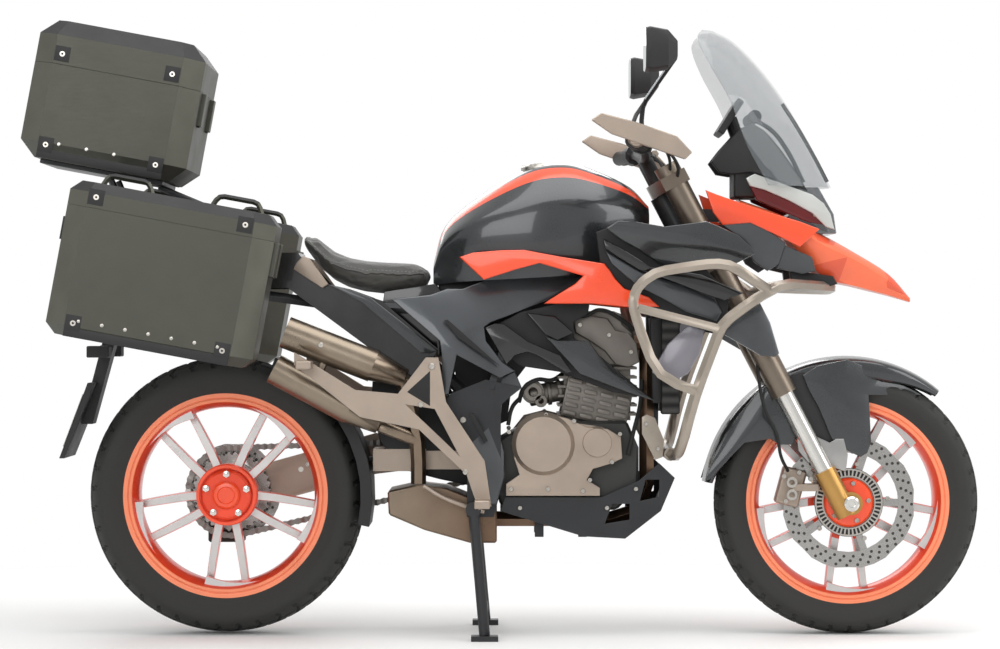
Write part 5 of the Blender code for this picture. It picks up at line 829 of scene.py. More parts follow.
coverTable = {
    "accentWing": {
        "outlines": [[(459.3, 256.8), (472.7, 252.3), (500, 250), (524, 249.6), (562, 256.8), (604.4, 263.5),
                      (610, 270.2), (615.5, 279.1), (624.5, 288.5), (649, 297), (660.2, 307), (624.5, 307),
                      (593.2, 303.7), (544.1, 303.7), (548.6, 300.3), (575.4, 283.6), (583.2, 275.8),
                      (539.6, 263), (512.9, 270.2), (483.8, 279.6)]],
        "folds": [((583, 310), (604, 255), 0.08), ((660, 292), (455, 292), 0.25)],
        "reach": 0.187, "thickness": 0.014, "soften": 0.004, "material": orangePlastic, "slot": "accent_red",
        "replaces": ["side_panel_left", "side_panel_right"]},
    "sideCover": {
        "outlines": [[(390.6, 299), (430, 294.7), (447, 288.5), (462.6, 288.5), (483, 280.5), (513, 271),
                      (539.6, 263.8), (583, 276), (576, 283), (548, 300), (490.5, 322.6), (484.3, 327),
                      (486, 341),
                      (502, 362), (515, 371), (499.5, 378), (456.6, 355), (448.3, 394), (441.8, 396),
                      (442, 377), (441.5, 353), (439.5, 341)]],
        "folds": [((425.8, 313.7), (455.9, 351.7), 0.30), ((486, 322), (583, 281), 0.22)],
        "reach": 0.180, "thickness": 0.012, "material": bodyPaint, "slot": "body_grey",
        "replaces": ["mid_cover_left", "mid_cover_right"]},
    "pivotCover": {
        "outlines": [[(441.8, 396.6), (448.3, 395), (499.5, 379), (515, 371.8), (522, 388.5), (501.7, 404),
                      (499.5, 435), (504, 453), (504, 478), (496, 504.5), (481.6, 503.4), (477, 491),
                      (458, 440),
                      (443.7, 419.7), (441.4, 408.6)]],
        "folds": [((496, 505), (485, 395), 0.35), ((441, 400), (484, 505), 0.30)],
        "reach": 0.172, "thickness": 0.012, "material": bodyPaint, "slot": "body_grey"},
    "sparCoverUpper": {
        "outlines": [[(485, 328), (495, 323.3), (504, 323.8), (528.5, 341.6), (559.7, 355), (572, 371.7),
                      (566.4, 372.9), (536.3, 355), (526.3, 351.7), (515, 355), (506, 364)],
                     [(526.3, 312.6), (555.3, 316), (574.2, 333.1), (557.5, 340.5), (546.3, 335)]],
        "folds": [((485, 332), (572, 368), 0.25)],
        "reach": 0.160, "thickness": 0.012, "material": blackGloss, "slot": "gloss_black"},
    "sparCoverLower": {
        "outlines": [[(545, 336), (557.5, 340.5), (588.8, 340.5), (611, 370.6), (656.8, 401.9), (626.7, 391.8),
                      (579.8, 374)]],
        "folds": [((556, 344), (640, 396), 0.30)],
        "reach": 0.155, "thickness": 0.012, "material": darkPaint, "slot": "body_grey"},
    "innerShade": {
        "outlines": [[(486, 330), (520, 312), (560, 303), (590, 302), (588, 314), (574, 322), (574, 338),
                      (600, 356),
                      (652, 399), (612, 392), (560, 372), (520, 366), (500, 352)]],
        "reach": 0.128, "thickness": 0.010, "material": shadowPlastic, "slot": "matt_black"},
    "shroudUpper": {
        "outlines": [[(605.9, 228), (618.4, 220.6), (634.5, 221.3), (664, 226.5), (706.4, 221.3), (716.7, 225),
                      (738.7, 235.3), (751.9, 247.7), (755.6, 253.6), (737.2, 263.1), (700, 270), (672, 272),
                      (657.7, 262), (640, 250), (622, 240)]],
        "folds": [((607, 232), (755, 262), 0.0), ((755.6, 254), (607, 228), 0.42)],
        "reach": 0.208, "thickness": 0.014, "material": darkPaint, "slot": "body_grey",
        "replaces": ["fairing_left", "fairing_right"]},
    "shroudBlade": {
        "outlines": [[(603, 238), (625, 250), (650, 266), (690, 272), (702, 274), (744.6, 293.2),
                      (731.4, 297.6),
                      (724, 300.5), (700, 292), (675, 282), (640, 270), (620, 258), (605, 248)]],
        "folds": [((605, 243), (740, 296), 0.35)],
        "reach": 0.203, "thickness": 0.014, "material": blackGloss, "slot": "gloss_black"},
    "shroudLower": {
        "outlines": [[(605, 250), (640, 271), (680, 284), (715, 298), (722, 312), (716.7, 321), (687, 312),
                      (660, 297), (640, 287), (626, 276), (612, 264)]],
        "folds": [((608, 256), (718, 314), 0.35)],
        "reach": 0.196, "thickness": 0.012, "material": bodyPaint, "slot": "body_grey"},
    # painted shade: a near-black sheet behind the shroud panels
    "shroudInnerShade": {
        "outlines": [[(596, 232), (612, 226), (700, 262), (730, 296), (724, 334), (704, 330), (672, 318),
                      (640, 300),
                      (618, 284), (600, 262)]],
        "reach": 0.176, "thickness": 0.012, "material": shadowPlastic, "slot": "matt_black"},
    "lowerWing": {
        "outlines": [[(722.6, 322.6), (731.4, 315), (751.9, 300), (759.2, 299), (771, 322.6), (779.8, 353.4),
                      (775.4, 357), (760.7, 355.6), (724, 334.3)]],
        "folds": [((728, 318), (764, 358), 0.30)],
        "reach": 0.186, "thickness": 0.012, "material": bodyPaint, "slot": "body_grey"},
    "radiatorCheek": {
        "outlines": [[(652, 372), (668, 344), (691.8, 322), (706, 324), (700, 353.4), (688, 374), (668, 384)]],
        "folds": [((664, 372), (700, 340), 0.18)],
        "reach": 0.168, "thickness": 0.010, "material": cheekPlastic, "slot": "body_grey"},
    "engineSideCover": {
        "outlines": [[(505.9, 496), (505.9, 484), (519.3, 474.7), (514, 458.6), (514, 431.8), (524.7, 418.4),
                      (546, 413), (567.5, 418.4), (586.3, 427), (607.7, 429), (621, 437), (622.4, 458.6),
                      (610.4, 464), (593, 469), (587, 480), (600, 488), (600, 496)]],
        "reach": 0.134, "thickness": 0.009, "soften": 0.002, "material": champagneCast, "slot": "champagne"},
    "headSideCover": {
        "outlines": [[(572.9, 319.3), (589, 315.3), (607.7, 318), (615.7, 330), (629, 332.7), (637, 343.4),
                      (639.8, 362), (629, 367.5), (615.7, 364.8), (605, 351.4), (589, 340.7), (575.5, 332.7)]],
        "reach": 0.100, "thickness": 0.016, "soften": 0.004, "material": greyCast, "slot": "frame_dark"},
    "tailStrip": {
        "outlines": [[(327, 284), (345, 288), (370, 297), (438, 350.5), (429, 354), (420.7, 353), (362, 303)]],
        "reach": 0.124, "thickness": 0.007, "material": darkPaint, "slot": "gloss_black"},
    "carrierLug": {
        "outlines": [[(303, 256), (309, 258), (328, 284), (322, 288), (293.5, 269), (296, 263)]],
        "reach": 0.150, "thickness": 0.026, "soften": 0.002, "material": champagneCast, "slot": "champagne"},
    "crashBarFoot": {
        "outlines": [[(642, 417), (647, 414.5), (655, 418), (664, 440), (663, 457), (655, 460), (642, 434)]],
        "reach": 0.150, "thickness": 0.006, "soften": 0.001, "material": barPowder, "slot": "champagne"},
    "beakCheek": {
        "outlines": [[(705.7, 189.8), (716.7, 194.2), (760.7, 209.6), (800, 221.3), (820, 229), (800, 247),
                      (775.4, 234.5), (750.4, 222.8), (722.6, 225), (713, 212)]],
        "folds": [((712, 206), (800, 238), 0.10)],
        "reach": 0.130, "thickness": 0.007, "soften": 0.003, "material": orangePlastic, "slot": "accent_red"},
    "noseSide": {
        "outlines": [[(718, 222), (752, 220), (769.5, 231), (786, 243), (779, 264), (767.6, 271), (754, 262),
                      (742, 240)]],
        "reach": 0.127, "thickness": 0.010, "soften": 0.003, "material": bodyPaint, "slot": "body_grey"},
    "noseGrille": {
        "outlines": [[(785, 245), (812, 257), (816, 271), (802.5, 274), (777, 268)]],
        "reach": 0.122, "thickness": 0.020, "soften": 0.002, "material": grilleMesh, "slot": "matt_black"},
    # painted shade under the nose: a near-black block
    "noseUnderShade": {
        "outlines": [[(790, 270), (833, 276), (838, 284), (820, 289), (792, 286)]],
        "reach": 0.100, "thickness": 0.030, "soften": 0.004, "material": shadowPlastic, "slot": "matt_black"},
    "lampStrip": {
        "outlines": [[(746, 178), (755, 173.5), (790, 186), (812.8, 194.4), (824, 203), (831, 214), (835, 230),
                      (826, 227), (812, 213), (790, 201), (765, 190), (750, 186)]],
        "folds": [((746, 182), (830, 210), 0.0)],
        "reach": 0.090, "thickness": 0.020, "soften": 0.004, "material": lampShell, "slot": "lamp_glass"},
    "lampRedStrip": {
        "outlines": [[(750, 186), (765, 190), (790, 201), (812, 213), (824, 225), (806, 222), (780, 210),
                      (757, 200)]],
        "reach": 0.086, "thickness": 0.020, "soften": 0.003, "material": deepRedGloss, "slot": "lamp_red"},
    "dashCheek": {
        "outlines": [[(740, 128), (752, 124), (765, 131), (780, 148), (797, 172), (808, 191), (780, 181),
                      (752, 172), (733, 174), (720, 172), (712, 161), (722, 148)]],
        "folds": [((757, 200), (762, 128), 0.25)],
        "reach": 0.088, "thickness": 0.014, "soften": 0.004, "material": blackGrained, "slot": "matt_black"},
    # painted shade: near-black plates where the side covers have slots
    "sideSlot": {
        "outlines": [[(443.7, 320.4), (447.5, 319.5), (500, 366), (481, 354), (458, 338)],
                     [(468.2, 413), (474, 414), (488, 441), (483.8, 443)]],
        "reach": 0.1815, "thickness": 0.010, "soften": 0.001, "material": shadowPlastic, "slot": "matt_black"},
}
for coverName, values in coverTable.items():
    coverPair(coverName, values)
print("covers made")


# Tank: smooth sections along the bike, with a crease on each side of the striped top
tankSettings = {
    "rear": 0.469, "floor": 0.775, "length": 0.487, "height": 0.296, "halfWidth": 0.150,
    # shares of length, of height at the floor, shoulder and crown, of half width at floor and shoulder
    "sections": [(0.00, 0.04, 0.17, 0.23, 0.45, 0.50), (0.05, 0.06, 0.36, 0.50, 0.55, 0.60),
                 (0.19, 0.08, 0.50, 0.71, 0.78, 0.86), (0.43, 0.10, 0.62, 0.95, 0.96, 1.00),
                 (0.60, 0.12, 0.66, 1.00, 0.92, 0.97), (0.74, 0.17, 0.66, 0.94, 0.78, 0.86),
                 (0.91, 0.28, 0.62, 0.81, 0.50, 0.60), (1.00, 0.40, 0.58, 0.66, 0.32, 0.38)],
    # across in shares of the half width, up: 0 floor, 1 shoulder, 2 crown
    "side": [(1.00, 0.0), (1.05, 0.35), (1.05, 0.75), (0.97, 1.12), (0.80, 1.42), (0.60, 1.70)],
    "top": [(0.60, 1.70), (0.34, 1.90), (0.0, 2.0)],
}


def smoothRows(rows, perSpan):
    # the same curve drawn through every column of a table
    columns = [curveThrough([(index, value, 0) for index, value in enumerate(column)], perSpan)
               for column in zip(*rows)]
    return [[point.y for point in row] for row in zip(*columns)]


def crossRing(x, floor, shoulder, crown, floorHalf, shoulderHalf, values):
    half = []
    side = [(point.x, point.y) for point in curveThrough([(a, b, 0) for a, b in values["side"]], 3)]
    top = [(point.x, point.y) for point in curveThrough([(a, b, 0) for a, b in values["top"]], 3)]
    for across, up in side + top[1:-1]:
        wide = floorHalf + (shoulderHalf - floorHalf) * min(up, 1.0)
        high = floor + (shoulder - floor) * up if up <= 1 else shoulder + (crown - shoulder) * (up - 1)
        half.append((wide * across, high))
    return [(x, 0, floor)] + [(x, -y, z) for y, z in half] + [(x, 0, crown)] \
        + [(x, y, z) for y, z in reversed(half)]


def sectionedForm(values, perSpan):
    rings = []
    for along, floor, shoulder, crown, floorHalf, shoulderHalf in smoothRows(values["sections"], perSpan):
        high = [values["floor"] + values["height"] * share for share in (floor, shoulder, crown)]
        rings.append(crossRing(rearAxle.x + values["rear"] + values["length"] * along, *high,
                               values["halfWidth"] * floorHalf, values["halfWidth"] * shoulderHalf, values))
    bm = bmesh.new()
    addLoft(bm, rings)
    return bm


def paintStripe(piece, values, inner, outer):
    # the stripe follows the crease: faces between two shares of the width, above the shoulder
    rows = smoothRows(values["sections"], 5)
    start, end = rearAxle.x + values["rear"], rearAxle.x + values["rear"] + values["length"]
    for polygon in piece.data.polygons:
        way = (polygon.center.x - start) / (end - start)
        before = max((row for row in rows if row[0] <= way), default=rows[0])
        after = min((row for row in rows if row[0] > way), default=rows[-1])
        blend = 0 if after[0] == before[0] else (way - before[0]) / (after[0] - before[0])
        half, shoulder = [before[index] + (after[index] - before[index]) * blend for index in (5, 2)]
        share = abs(polygon.center.y) / (values["halfWidth"] * half)
        high = (polygon.center.z - values["floor"]) / values["height"]
        if inner < share < outer and high > shoulder:
            polygon.material_index = 1


tankPiece = finishPiece("tankShell", sectionedForm(tankSettings, 5), darkPaint, "chassis", 28)
tankPiece.data.materials.append(orangePlastic)
paintStripe(tankPiece, tankSettings, 0.42, 0.668)
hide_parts("tank")

beakSettings = {
    "rear": 1.088, "floor": 0.752, "length": 0.462, "height": 0.255, "halfWidth": 0.115,
    "sections": [(0.152, 0.67, 0.79, 0.92, 0.80, 0.95), (0.36, 0.57, 0.70, 0.78, 0.85, 1.00),
                 (0.55, 0.23, 0.50, 0.62, 0.70, 0.96), (0.72, 0.14, 0.36, 0.45, 0.52, 0.74),
                 (0.89, 0.06, 0.18, 0.26, 0.30, 0.44), (1.00, 0.00, 0.02, 0.04, 0.12, 0.16)],
    "side": [(1.00, 0.0), (1.03, 0.5), (1.00, 1.0), (0.86, 1.45), (0.70, 1.75)],
    "top": [(0.70, 1.75), (0.35, 1.92), (0.0, 2.0)],
}
beakPiece = finishPiece("beakShell", sectionedForm(beakSettings, 4), beakPlastic, "chassis", 24)
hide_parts("beak")
print("tank and beak made")


# Seat: the pad is filled by a cloth simulation, then its cover gets a welt and stitches
seatSettings = {"shrinkMm": 4.0, "voxel": 0.005, "pressure": 4.0, "frames": 20, "capMm": 6.0}


def makeSeat(values):
    node = frame["nodes"]["seat"]
    bm = copyNode("seat")
    bmesh.ops.recalc_face_normals(bm, faces=bm.faces)
    for vert in bm.verts:
        vert.co -= vert.normal * values["shrinkMm"] / 1000
    pad = finishPiece("seatPad", bm, seatVinyl, node["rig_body"], 180)
    rounding = pad.modifiers.new("rounding", "SUBSURF")
    rounding.levels = rounding.render_levels = 1
    remesh = pad.modifiers.new("remesh", "REMESH")
    remesh.mode = "VOXEL"
    remesh.voxel_size = values["voxel"]
    remesh.use_smooth_shade = True
    depsgraph = bpy.context.evaluated_depsgraph_get()
    shaped = bpy.data.meshes.new_from_object(pad.evaluated_get(depsgraph))
    pad.modifiers.clear()
    pad.data = shaped
    rest = [vert.co.copy() for vert in shaped.vertices]
    cloth = pad.modifiers.new("filling", "CLOTH")
    cloth.settings.use_pressure = True
    cloth.settings.uniform_pressure_force = values["pressure"]
    cloth.settings.effector_weights.gravity = 0.0
    cloth.point_cache.frame_start = 1
    cloth.point_cache.frame_end = values["frames"]
    for step in range(1, values["frames"] + 1):
        bpy.context.scene.frame_set(step)
    filled = bpy.data.meshes.new_from_object(pad.evaluated_get(bpy.context.evaluated_depsgraph_get()))
    pad.modifiers.clear()
    pad.data = filled
    cap = values["capMm"] / 1000
    for vert, start in zip(filled.vertices, rest):
        move = vert.co - start
        if move.length > cap:
            vert.co = start + move * (cap / move.length)
    bpy.context.scene.frame_set(1)
    pad.data.shade_smooth()
    if not pad.data.materials:
        pad.data.materials.append(seatVinyl)
    smooth = pad.modifiers.new("smooth", "SUBSURF")
    smooth.levels = smooth.render_levels = 1
    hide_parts("seat")
    return pad


seatPad = makeSeat(seatSettings)
print("seat filled")


# Engine: screws on the covers, the finned barrel, throttle body and hoses, dark parts and painted shade behind
engineSettings = {
    "screws": [(509, 432), (574, 421), (620, 434), (612, 462), (590, 480), (583, 491), (546, 414.5), (511, 489),
               (548, 489)],
    "screwRadius": 0.0052, "screwReach": 0.134, "barrelAt": (597, 402), "barrelLean": 12,
    "barrelSize": (0.150, 0.012, 0.092), "ribRows": 5, "ribColumns": 4,
    # screws on plates and guards: column, row, reach
    "plateScrews": [(609, 335, 0.100), (631, 352, 0.100), (580, 325, 0.100), (646, 424, 0.150),
                    (658, 449, 0.150), (636, 489, 0.126), (607, 508, 0.126), (520, 508, 0.126)],
    # throttle rings: column, row, reach, outer and inner radius, width
    "throttleRings": [(533, 392, 0.070, 0.026, 0.012, 0.040), (541, 401, 0.092, 0.014, 0.006, 0.012),
                      (533, 392, 0.094, 0.021, 0.010, 0.008)],
    "intake": ((529, 396, 0.060), (572, 389, 0.050)), "clampsAt": (0.2, 0.45, 0.7), "hoseRadius": 0.0048,
    "hoses": [[(519, 402, 0.085), (524, 388, 0.098), (536, 380, 0.098), (552, 380, 0.080), (565, 372, 0.060)],
              [(508, 425, 0.118), (512, 408, 0.112), (520, 398, 0.090)],
              [(628, 455, 0.122), (634, 430, 0.112), (640, 405, 0.098), (642, 380, 0.090)],
              [(575, 310, 0.085), (583, 316, 0.102), (600, 310, 0.105), (622, 320, 0.098), (634, 330, 0.080)]],
}


def seenSpot(column, row, reach):
    x, z = seenAt(column, row, reach)
    return Vector((x, -reach, z))


def makeEngineScrews(values):
    bm = bmesh.new()
    for column, row in values["screws"]:
        addScrew(bm, seenSpot(column, row, values["screwReach"]), (0, -1, 0), values["screwRadius"], 0.006)
    for column, row, reach in values["plateScrews"]:
        addScrew(bm, seenSpot(column, row, reach), (0, -1, 0), values["screwRadius"], 0.004)
    mirrorAcross(bm)
    finishPiece("engineScrews", bm, zincSteel, "chassis", 30)


def makeBarrel(values):
    lean = Matrix.Rotation(math.radians(values["barrelLean"]), 3, "Y")
    long, deep, high = values["barrelSize"]
    bm = bmesh.new()
    for side in (-1, 1):
        x, z = seenAt(*values["barrelAt"], 0.09)
        centre = Vector((x, side * 0.086, z))
        addBlock(bm, centre, (long, deep, high), lean, 0.003)
        for row in range(values["ribRows"]):
            for column in range(values["ribColumns"]):
                along = long * ((column + 0.5) / values["ribColumns"] - 0.5)
                up = high * ((row + 0.5) / values["ribRows"] - 0.5)
                addBlock(bm, centre + lean @ Vector((along, side * 0.009, up)),
                         (long * 0.19, 0.009, high * 0.10), lean, 0.0014)
    finishPiece("barrelRibs", bm, greyCast, "chassis", 30)


def makeThrottle(values):
    bm = bmesh.new()
    for column, row, reach, outer, inner, width in values["throttleRings"]:
        addRing(bm, seenSpot(column, row, reach), (0, 1, 0), outer, inner, width, 32)
    start, end = [seenSpot(*place) for place in values["intake"]]
    addBar(bm, start, end, 0.024, 32, 0.022, 0.003)
    for way in values["clampsAt"]:
        addRing(bm, start.lerp(end, way), end - start, 0.0275, 0.020, 0.008, 32)
    finishPiece("throttleBody", bm, greyCast, "chassis", 30)
    routes = [[seenSpot(*place) for place in hose] for hose in values["hoses"]]
    tubePiece("engineHoses", routes, values["hoseRadius"], gripRubber, "chassis")


def makeShade(name, outline, half, material):
    bm = bmesh.new()
    addPlate(bm, [seenAt(column, row, 0.0) for column, row in outline], half, -half, 0.003)
    return finishPiece(name, bm, material, "chassis", 30)


makeEngineScrews(engineSettings)
makeBarrel(engineSettings)
makeThrottle(engineSettings)
shadeTable = {
    # dark parts and painted shade behind the covers: half width, finish, outline in the picture
    # partly the airbox, partly painted shade filling the gap under the tank
    "airBoxShade": (0.066, shadowPlastic,
                   [(437, 276), (500, 262), (600, 272), (588, 300), (586, 330), (566, 350), (532, 358),
                    (512, 384), (507, 420), (480, 432), (462, 404), (450, 345)]),
    "innerFender": (0.058, shadowPlastic,
                    [(374, 372), (440, 372), (458, 402), (474, 442), (478, 486), (440, 478), (402, 468),
                     (381, 440), (372, 405)]),
    "tailInner": (0.098, blackGloss,
                  [(386, 292), (436, 284), (448, 300), (446, 356), (432, 356), (404, 330), (384, 306)]),
    "radiatorFan": (0.120, blackGrained, [(648, 318), (664, 318), (664, 402), (650, 402)]),
}
for shadeName, (half, material, outline) in shadeTable.items():
    makeShade(shadeName, outline, half, material)
print("engine made")


# Wheels: hub caps, nuts, the slotted sensor ring, disc screws
hubSettings = {
    # the rear hub's face, its nuts, the front sensor ring and its carrier, in metres from the axle
    "rearFace": -0.045, "nuts": 5, "nutRing": 0.048, "slots": 48, "slotRing": 0.0665, "slotFace": -0.0700,
    "carrierFace": -0.052, "screwRings": ((0.044, -0.073, 0.004), (0.088, -0.066, 0.003)), "screws": 5,
}
brakeSettings = {
    # on the caliper, from its middle: screws and pistons; then the hose in the picture, and the axle's end
    "screws": ((-0.030, 0.026), (0.030, 0.020), (-0.026, -0.030), (0.004, 0.034)),
    "pistons": ((-0.012, 0.012), (-0.012, -0.016)), "hoseRadius": 0.0038, "axleEnd": 0.128,
    "hose": [(757, 352, 0.106), (759, 380, 0.122), (765, 409, 0.128), (777, 435, 0.124), (781, 456, 0.112),
             (788, 471, 0.082)],
}


def makeHubParts(values):
    rearBody, frontBody = frame["nodes"]["rear_rim"]["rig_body"], frame["nodes"]["front_rim"]["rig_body"]
    bm = bmesh.new()
    cap = [(0, 0), (0.031, 0), (0.031, 0.006), (0.027, 0.010), (0.020, 0.011), (0.018, 0.008), (0, 0.008)]
    addDome(bm, rearAxle + Vector((0, values["rearFace"], 0)), (0, -1, 0), cap, 48)
    addRing(bm, rearAxle + Vector((0, -0.0462, 0)), (0, 1, 0), 0.068, 0.061, 0.004, 64)
    finishPiece("rearHubCap", bm, orangePlastic, rearBody, 30)
    bm = bmesh.new()
    for index in range(values["nuts"]):
        turn = 2 * math.pi * index / values["nuts"] + 0.3
        at = rearAxle + Vector((values["nutRing"] * math.cos(turn), values["rearFace"],
                                values["nutRing"] * math.sin(turn)))
        addBar(bm, at, at + Vector((0, -0.010, 0)), 0.0085, 6, soften=0.001)
        addBar(bm, at + Vector((0, -0.008, 0)), at + Vector((0, -0.014, 0)), 0.0045, 16, soften=0.001)
    finishPiece("rearHubNuts", bm, chromeTube, rearBody, 30)
    bm = bmesh.new()
    for index in range(values["slots"]):
        turn = 2 * math.pi * index / values["slots"]
        middle = frontAxle + Vector((values["slotRing"] * math.cos(turn), values["slotFace"],
                                     values["slotRing"] * math.sin(turn)))
        addBlock(bm, middle, (0.013, 0.0024, 0.0036), Matrix.Rotation(-turn, 3, "Y"))
    for outer, inner in ((0.0765, 0.0725), (0.0605, 0.0575)):
        addRing(bm, frontAxle + Vector((0, values["slotFace"], 0)), (0, 1, 0), outer, inner, 0.0026, 96)
    finishPiece("sensorRing", bm, zincSteel, frontBody, 30)
    bm = bmesh.new()
    addRing(bm, frontAxle + Vector((0, -0.0684, 0)), (0, 1, 0), 0.0775, 0.0570, 0.0014, 96)
    finishPiece("sensorBacking", bm, blackGrained, frontBody, 30)
    bm = bmesh.new()
    carrier = [(0.024, 0), (0.056, 0), (0.056, 0.015), (0.050, 0.021), (0.032, 0.023), (0.024, 0.023)]
    made = addTurned(bm, carrier, 64)
    at = frontAxle + Vector((0, values["carrierFace"], 0))
    bmesh.ops.transform(bm, matrix=aimed(at, (0, -1, 0)), verts=made)
    finishPiece("frontHubCarrier", bm, orangePlastic, frontBody, 30)
    bm = bmesh.new()
    for index in range(values["screws"]):
        turn = 2 * math.pi * index / values["screws"] + 0.1
        out = Vector((math.cos(turn), 0, math.sin(turn)))
        for ring, face, height in values["screwRings"]:
            addScrew(bm, frontAxle + out * ring + Vector((0, face, 0)), (0, -1, 0), 0.0055, height)
    finishPiece("frontHubScrews", bm, zincSteel, frontBody, 30)


def makeFrontBrake(values):
    forkBody = frame["nodes"]["fork"]["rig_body"]
    low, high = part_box("front_caliper")
    middle = (low + high) / 2
    bm = bmesh.new()
    for along, up in values["screws"]:
        addScrew(bm, (middle.x + along, low.y + 0.001, middle.z + up), (0, -1, 0), 0.006, 0.005)
    for along, up in values["pistons"]:
        addRing(bm, (middle.x + along, low.y - 0.001, middle.z + up), (0, 1, 0), 0.0125, 0.006, 0.006, 32)
    finishPiece("caliperScrews", bm, zincSteel, forkBody, 30)
    route = [seenSpot(*place) for place in values["hose"]]
    tubePiece("frontBrakeHose", [route], values["hoseRadius"], gripRubber, forkBody)
    bm = bmesh.new()
    for side in (-1, 1):
        at = frontAxle + Vector((0, side * values["axleEnd"], 0))
        addDome(bm, at, (0, side, 0), [(0, 0), (0.017, 0), (0.017, 0.006), (0.013, 0.009), (0.008, 0.009),
                                       (0.007, 0.005), (0, 0.005)], 32)
    finishPiece("frontAxleEnds", bm, chromeTube, forkBody, 30)


makeHubParts(hubSettings)
makeFrontBrake(brakeSettings)
print("hubs and brakes made")


# Cases: black lid slopes and skirts, lighter corner strips, brackets, rivets and latches
caseLean = math.radians(10.5)        # the cases lean back with the carrier
caseSettings = {
    "topCase": {"base": "top_case", "lid": "top_lid", "at": (-0.270, 0.0, 1.047), "size": (0.375, 0.400, 0.210),
                "sides": (-1, 1), "rivets": 3, "rivetFrom": -0.095, "rivetStep": 0.062},
    "rightPannier": {"base": "pannier_right", "lid": "right_lid", "at": (-0.135, -0.357, 0.645),
                     "size": (0.450, 0.230, 0.278), "sides": (-1,), "rivets": 7, "rivetFrom": -0.150,
                     "rivetStep": 0.050},
    "leftPannier": {"base": "pannier_left", "lid": "left_lid", "at": (-0.135, 0.357, 0.645),
                    "size": (0.450, 0.230, 0.278), "sides": (1,), "rivets": 7, "rivetFrom": -0.150,
                    "rivetStep": 0.050},
}


def makeCaseTrim(name, values):
    long, wide, high = values["size"]
    place = Matrix.Translation(spot(*values["at"])) @ Matrix.Rotation(caseLean, 4, "Y")
    back = place.to_3x3().inverted()
    for nodeName in (values["base"], values["lid"]):
        shell = bpy.data.objects[nodeName + "_finished"]
        shell.data.materials.append(stripSheet)
        shell.data.materials.append(blackGrained)
        for polygon in shell.data.polygons:
            facing = back @ polygon.normal
            if abs(facing.x) > 0.5 and abs(facing.y) > 0.5:
                polygon.material_index = 1
            elif nodeName == values["lid"] and 0.25 < facing.z < 0.97:
                polygon.material_index = 2
    for part, nodeName, row in (("Base", values["base"], 0.030), ("Lid", values["lid"], high + 0.024)):
        body = frame["nodes"][nodeName]["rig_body"]
        plates, studs = bmesh.new(), bmesh.new()
        for side in values["sides"]:
            for end in (-1, 1):
                at = Vector((end * (long / 2 - 0.064), side * (wide / 2 - 0.0002), row))
                addBlock(plates, at, (0.034, 0.0016, 0.034), None, 0.0006)
                addDome(studs, at + Vector((0, side * 0.0003, 0)), (0, side, 0),
                        [(0, 0), (0.0065, 0), (0.0060, 0.0006), (0.0025, 0.0006), (0.0025, 0.0002),
                         (0, 0.0002)], 20)
            if part == "Base":
                addBlock(plates, (0, side * (wide / 2 - 0.0002), 0.010), (long - 0.094, 0.0014, 0.020), None,
                         0.0005)
                for index in range(values["rivets"]):
                    at = (values["rivetFrom"] + values["rivetStep"] * index, side * (wide / 2 - 0.0002), 0.036)
                    addDome(studs, at, (0, side, 0), [(0, 0), (0.0042, 0), (0.0034, 0.0008), (0, 0.0011)], 16)
        if part == "Base":
            for end in (-1, 1):
                for reach in (-0.62, 0.62):
                    if end < 0 and name == "topCase":
                        continue
                    at = Vector((end * (long / 2 + 0.0030), reach * (wide / 2 - 0.045), high - 0.052))
                    addBlock(plates, at, (0.006, 0.026, 0.050), None, 0.0012)
        for tool in (plates, studs):
            bmesh.ops.transform(tool, matrix=place, verts=tool.verts)
        finishPiece(name + part + "Plates", plates, blackGrained, body, 30)
        finishPiece(name + part + "Studs", studs, zincSteel, body, 30)


for caseName, values in caseSettings.items():
    makeCaseTrim(caseName, values)
print("case trims made")


# Screen, front mudguard
screenSettings = {
    # share of the height, share of the reach in the middle and at the edge, share of the half width
    "rows": [(0.0, 1.0, 0.52, 0.80), (0.25, 0.86, 0.36, 0.96), (0.53, 0.68, 0.24, 1.0),
             (0.76, 0.49, 0.10, 0.92), (0.93, 0.30, 0.02, 0.66), (1.0, 0.16, 0.06, 0.30)],
    "rear": 1.056, "reach": 0.316, "half": 0.165, "foot": 1.012, "height": 0.355, "thickness": 0.004,
    "strip": [(784, 104), (800, 129), (816, 157), (829, 182)],
}
guardSettings = {
    "radius": 0.322, "thickness": 0.0035, "half": 0.0745, "from": 50, "to": 172, "drop": 0.034, "crown": 0.008,
    # side panels: finish, reach, thickness, outline in the picture, creases
    "panels": {
        "guardFront": (darkPaint, 0.0880, 0.006,
                       [(808.5, 389.4), (803, 375), (818, 366), (848, 359.5), (885, 374), (926, 396),
                        (869.8, 395.4), (872, 442.8), (868, 453), (861, 457), (852, 453), (832, 439),
                        (818.4, 407)], [((846, 388), (856, 452), 0.30), ((803, 380), (870, 396), -0.0)]),
        "guardRear": (darkPaint, 0.0870, 0.006,
                      [(705.5, 482), (712.6, 458.6), (725.5, 435), (739.3, 415), (757, 393.4), (775, 379.5),
                       (783, 389.4), (790.7, 423), (796.6, 435), (792.7, 444.8), (779, 444.8), (771, 438.9),
                       (759, 440.8), (745, 442.8), (731.4, 456.6), (711.6, 478.4)],
                      [((712, 470), (760, 416), 0.25)]),
        "guardMiddle": (blackGrained, 0.0830, 0.006,
                        [(770, 381), (804, 372), (812, 392), (834, 440), (828, 446), (796, 440), (788, 420)],
                        []),
        "guardBracket": (stripMetal, 0.0920, 0.004,
                         [(796.6, 435), (806.5, 432), (830, 442.8), (836, 438.9), (844, 438.9), (848, 454.7),
                          (846, 472), (834, 468), (808.5, 462.6), (798.6, 450.7)], []),
    },
}


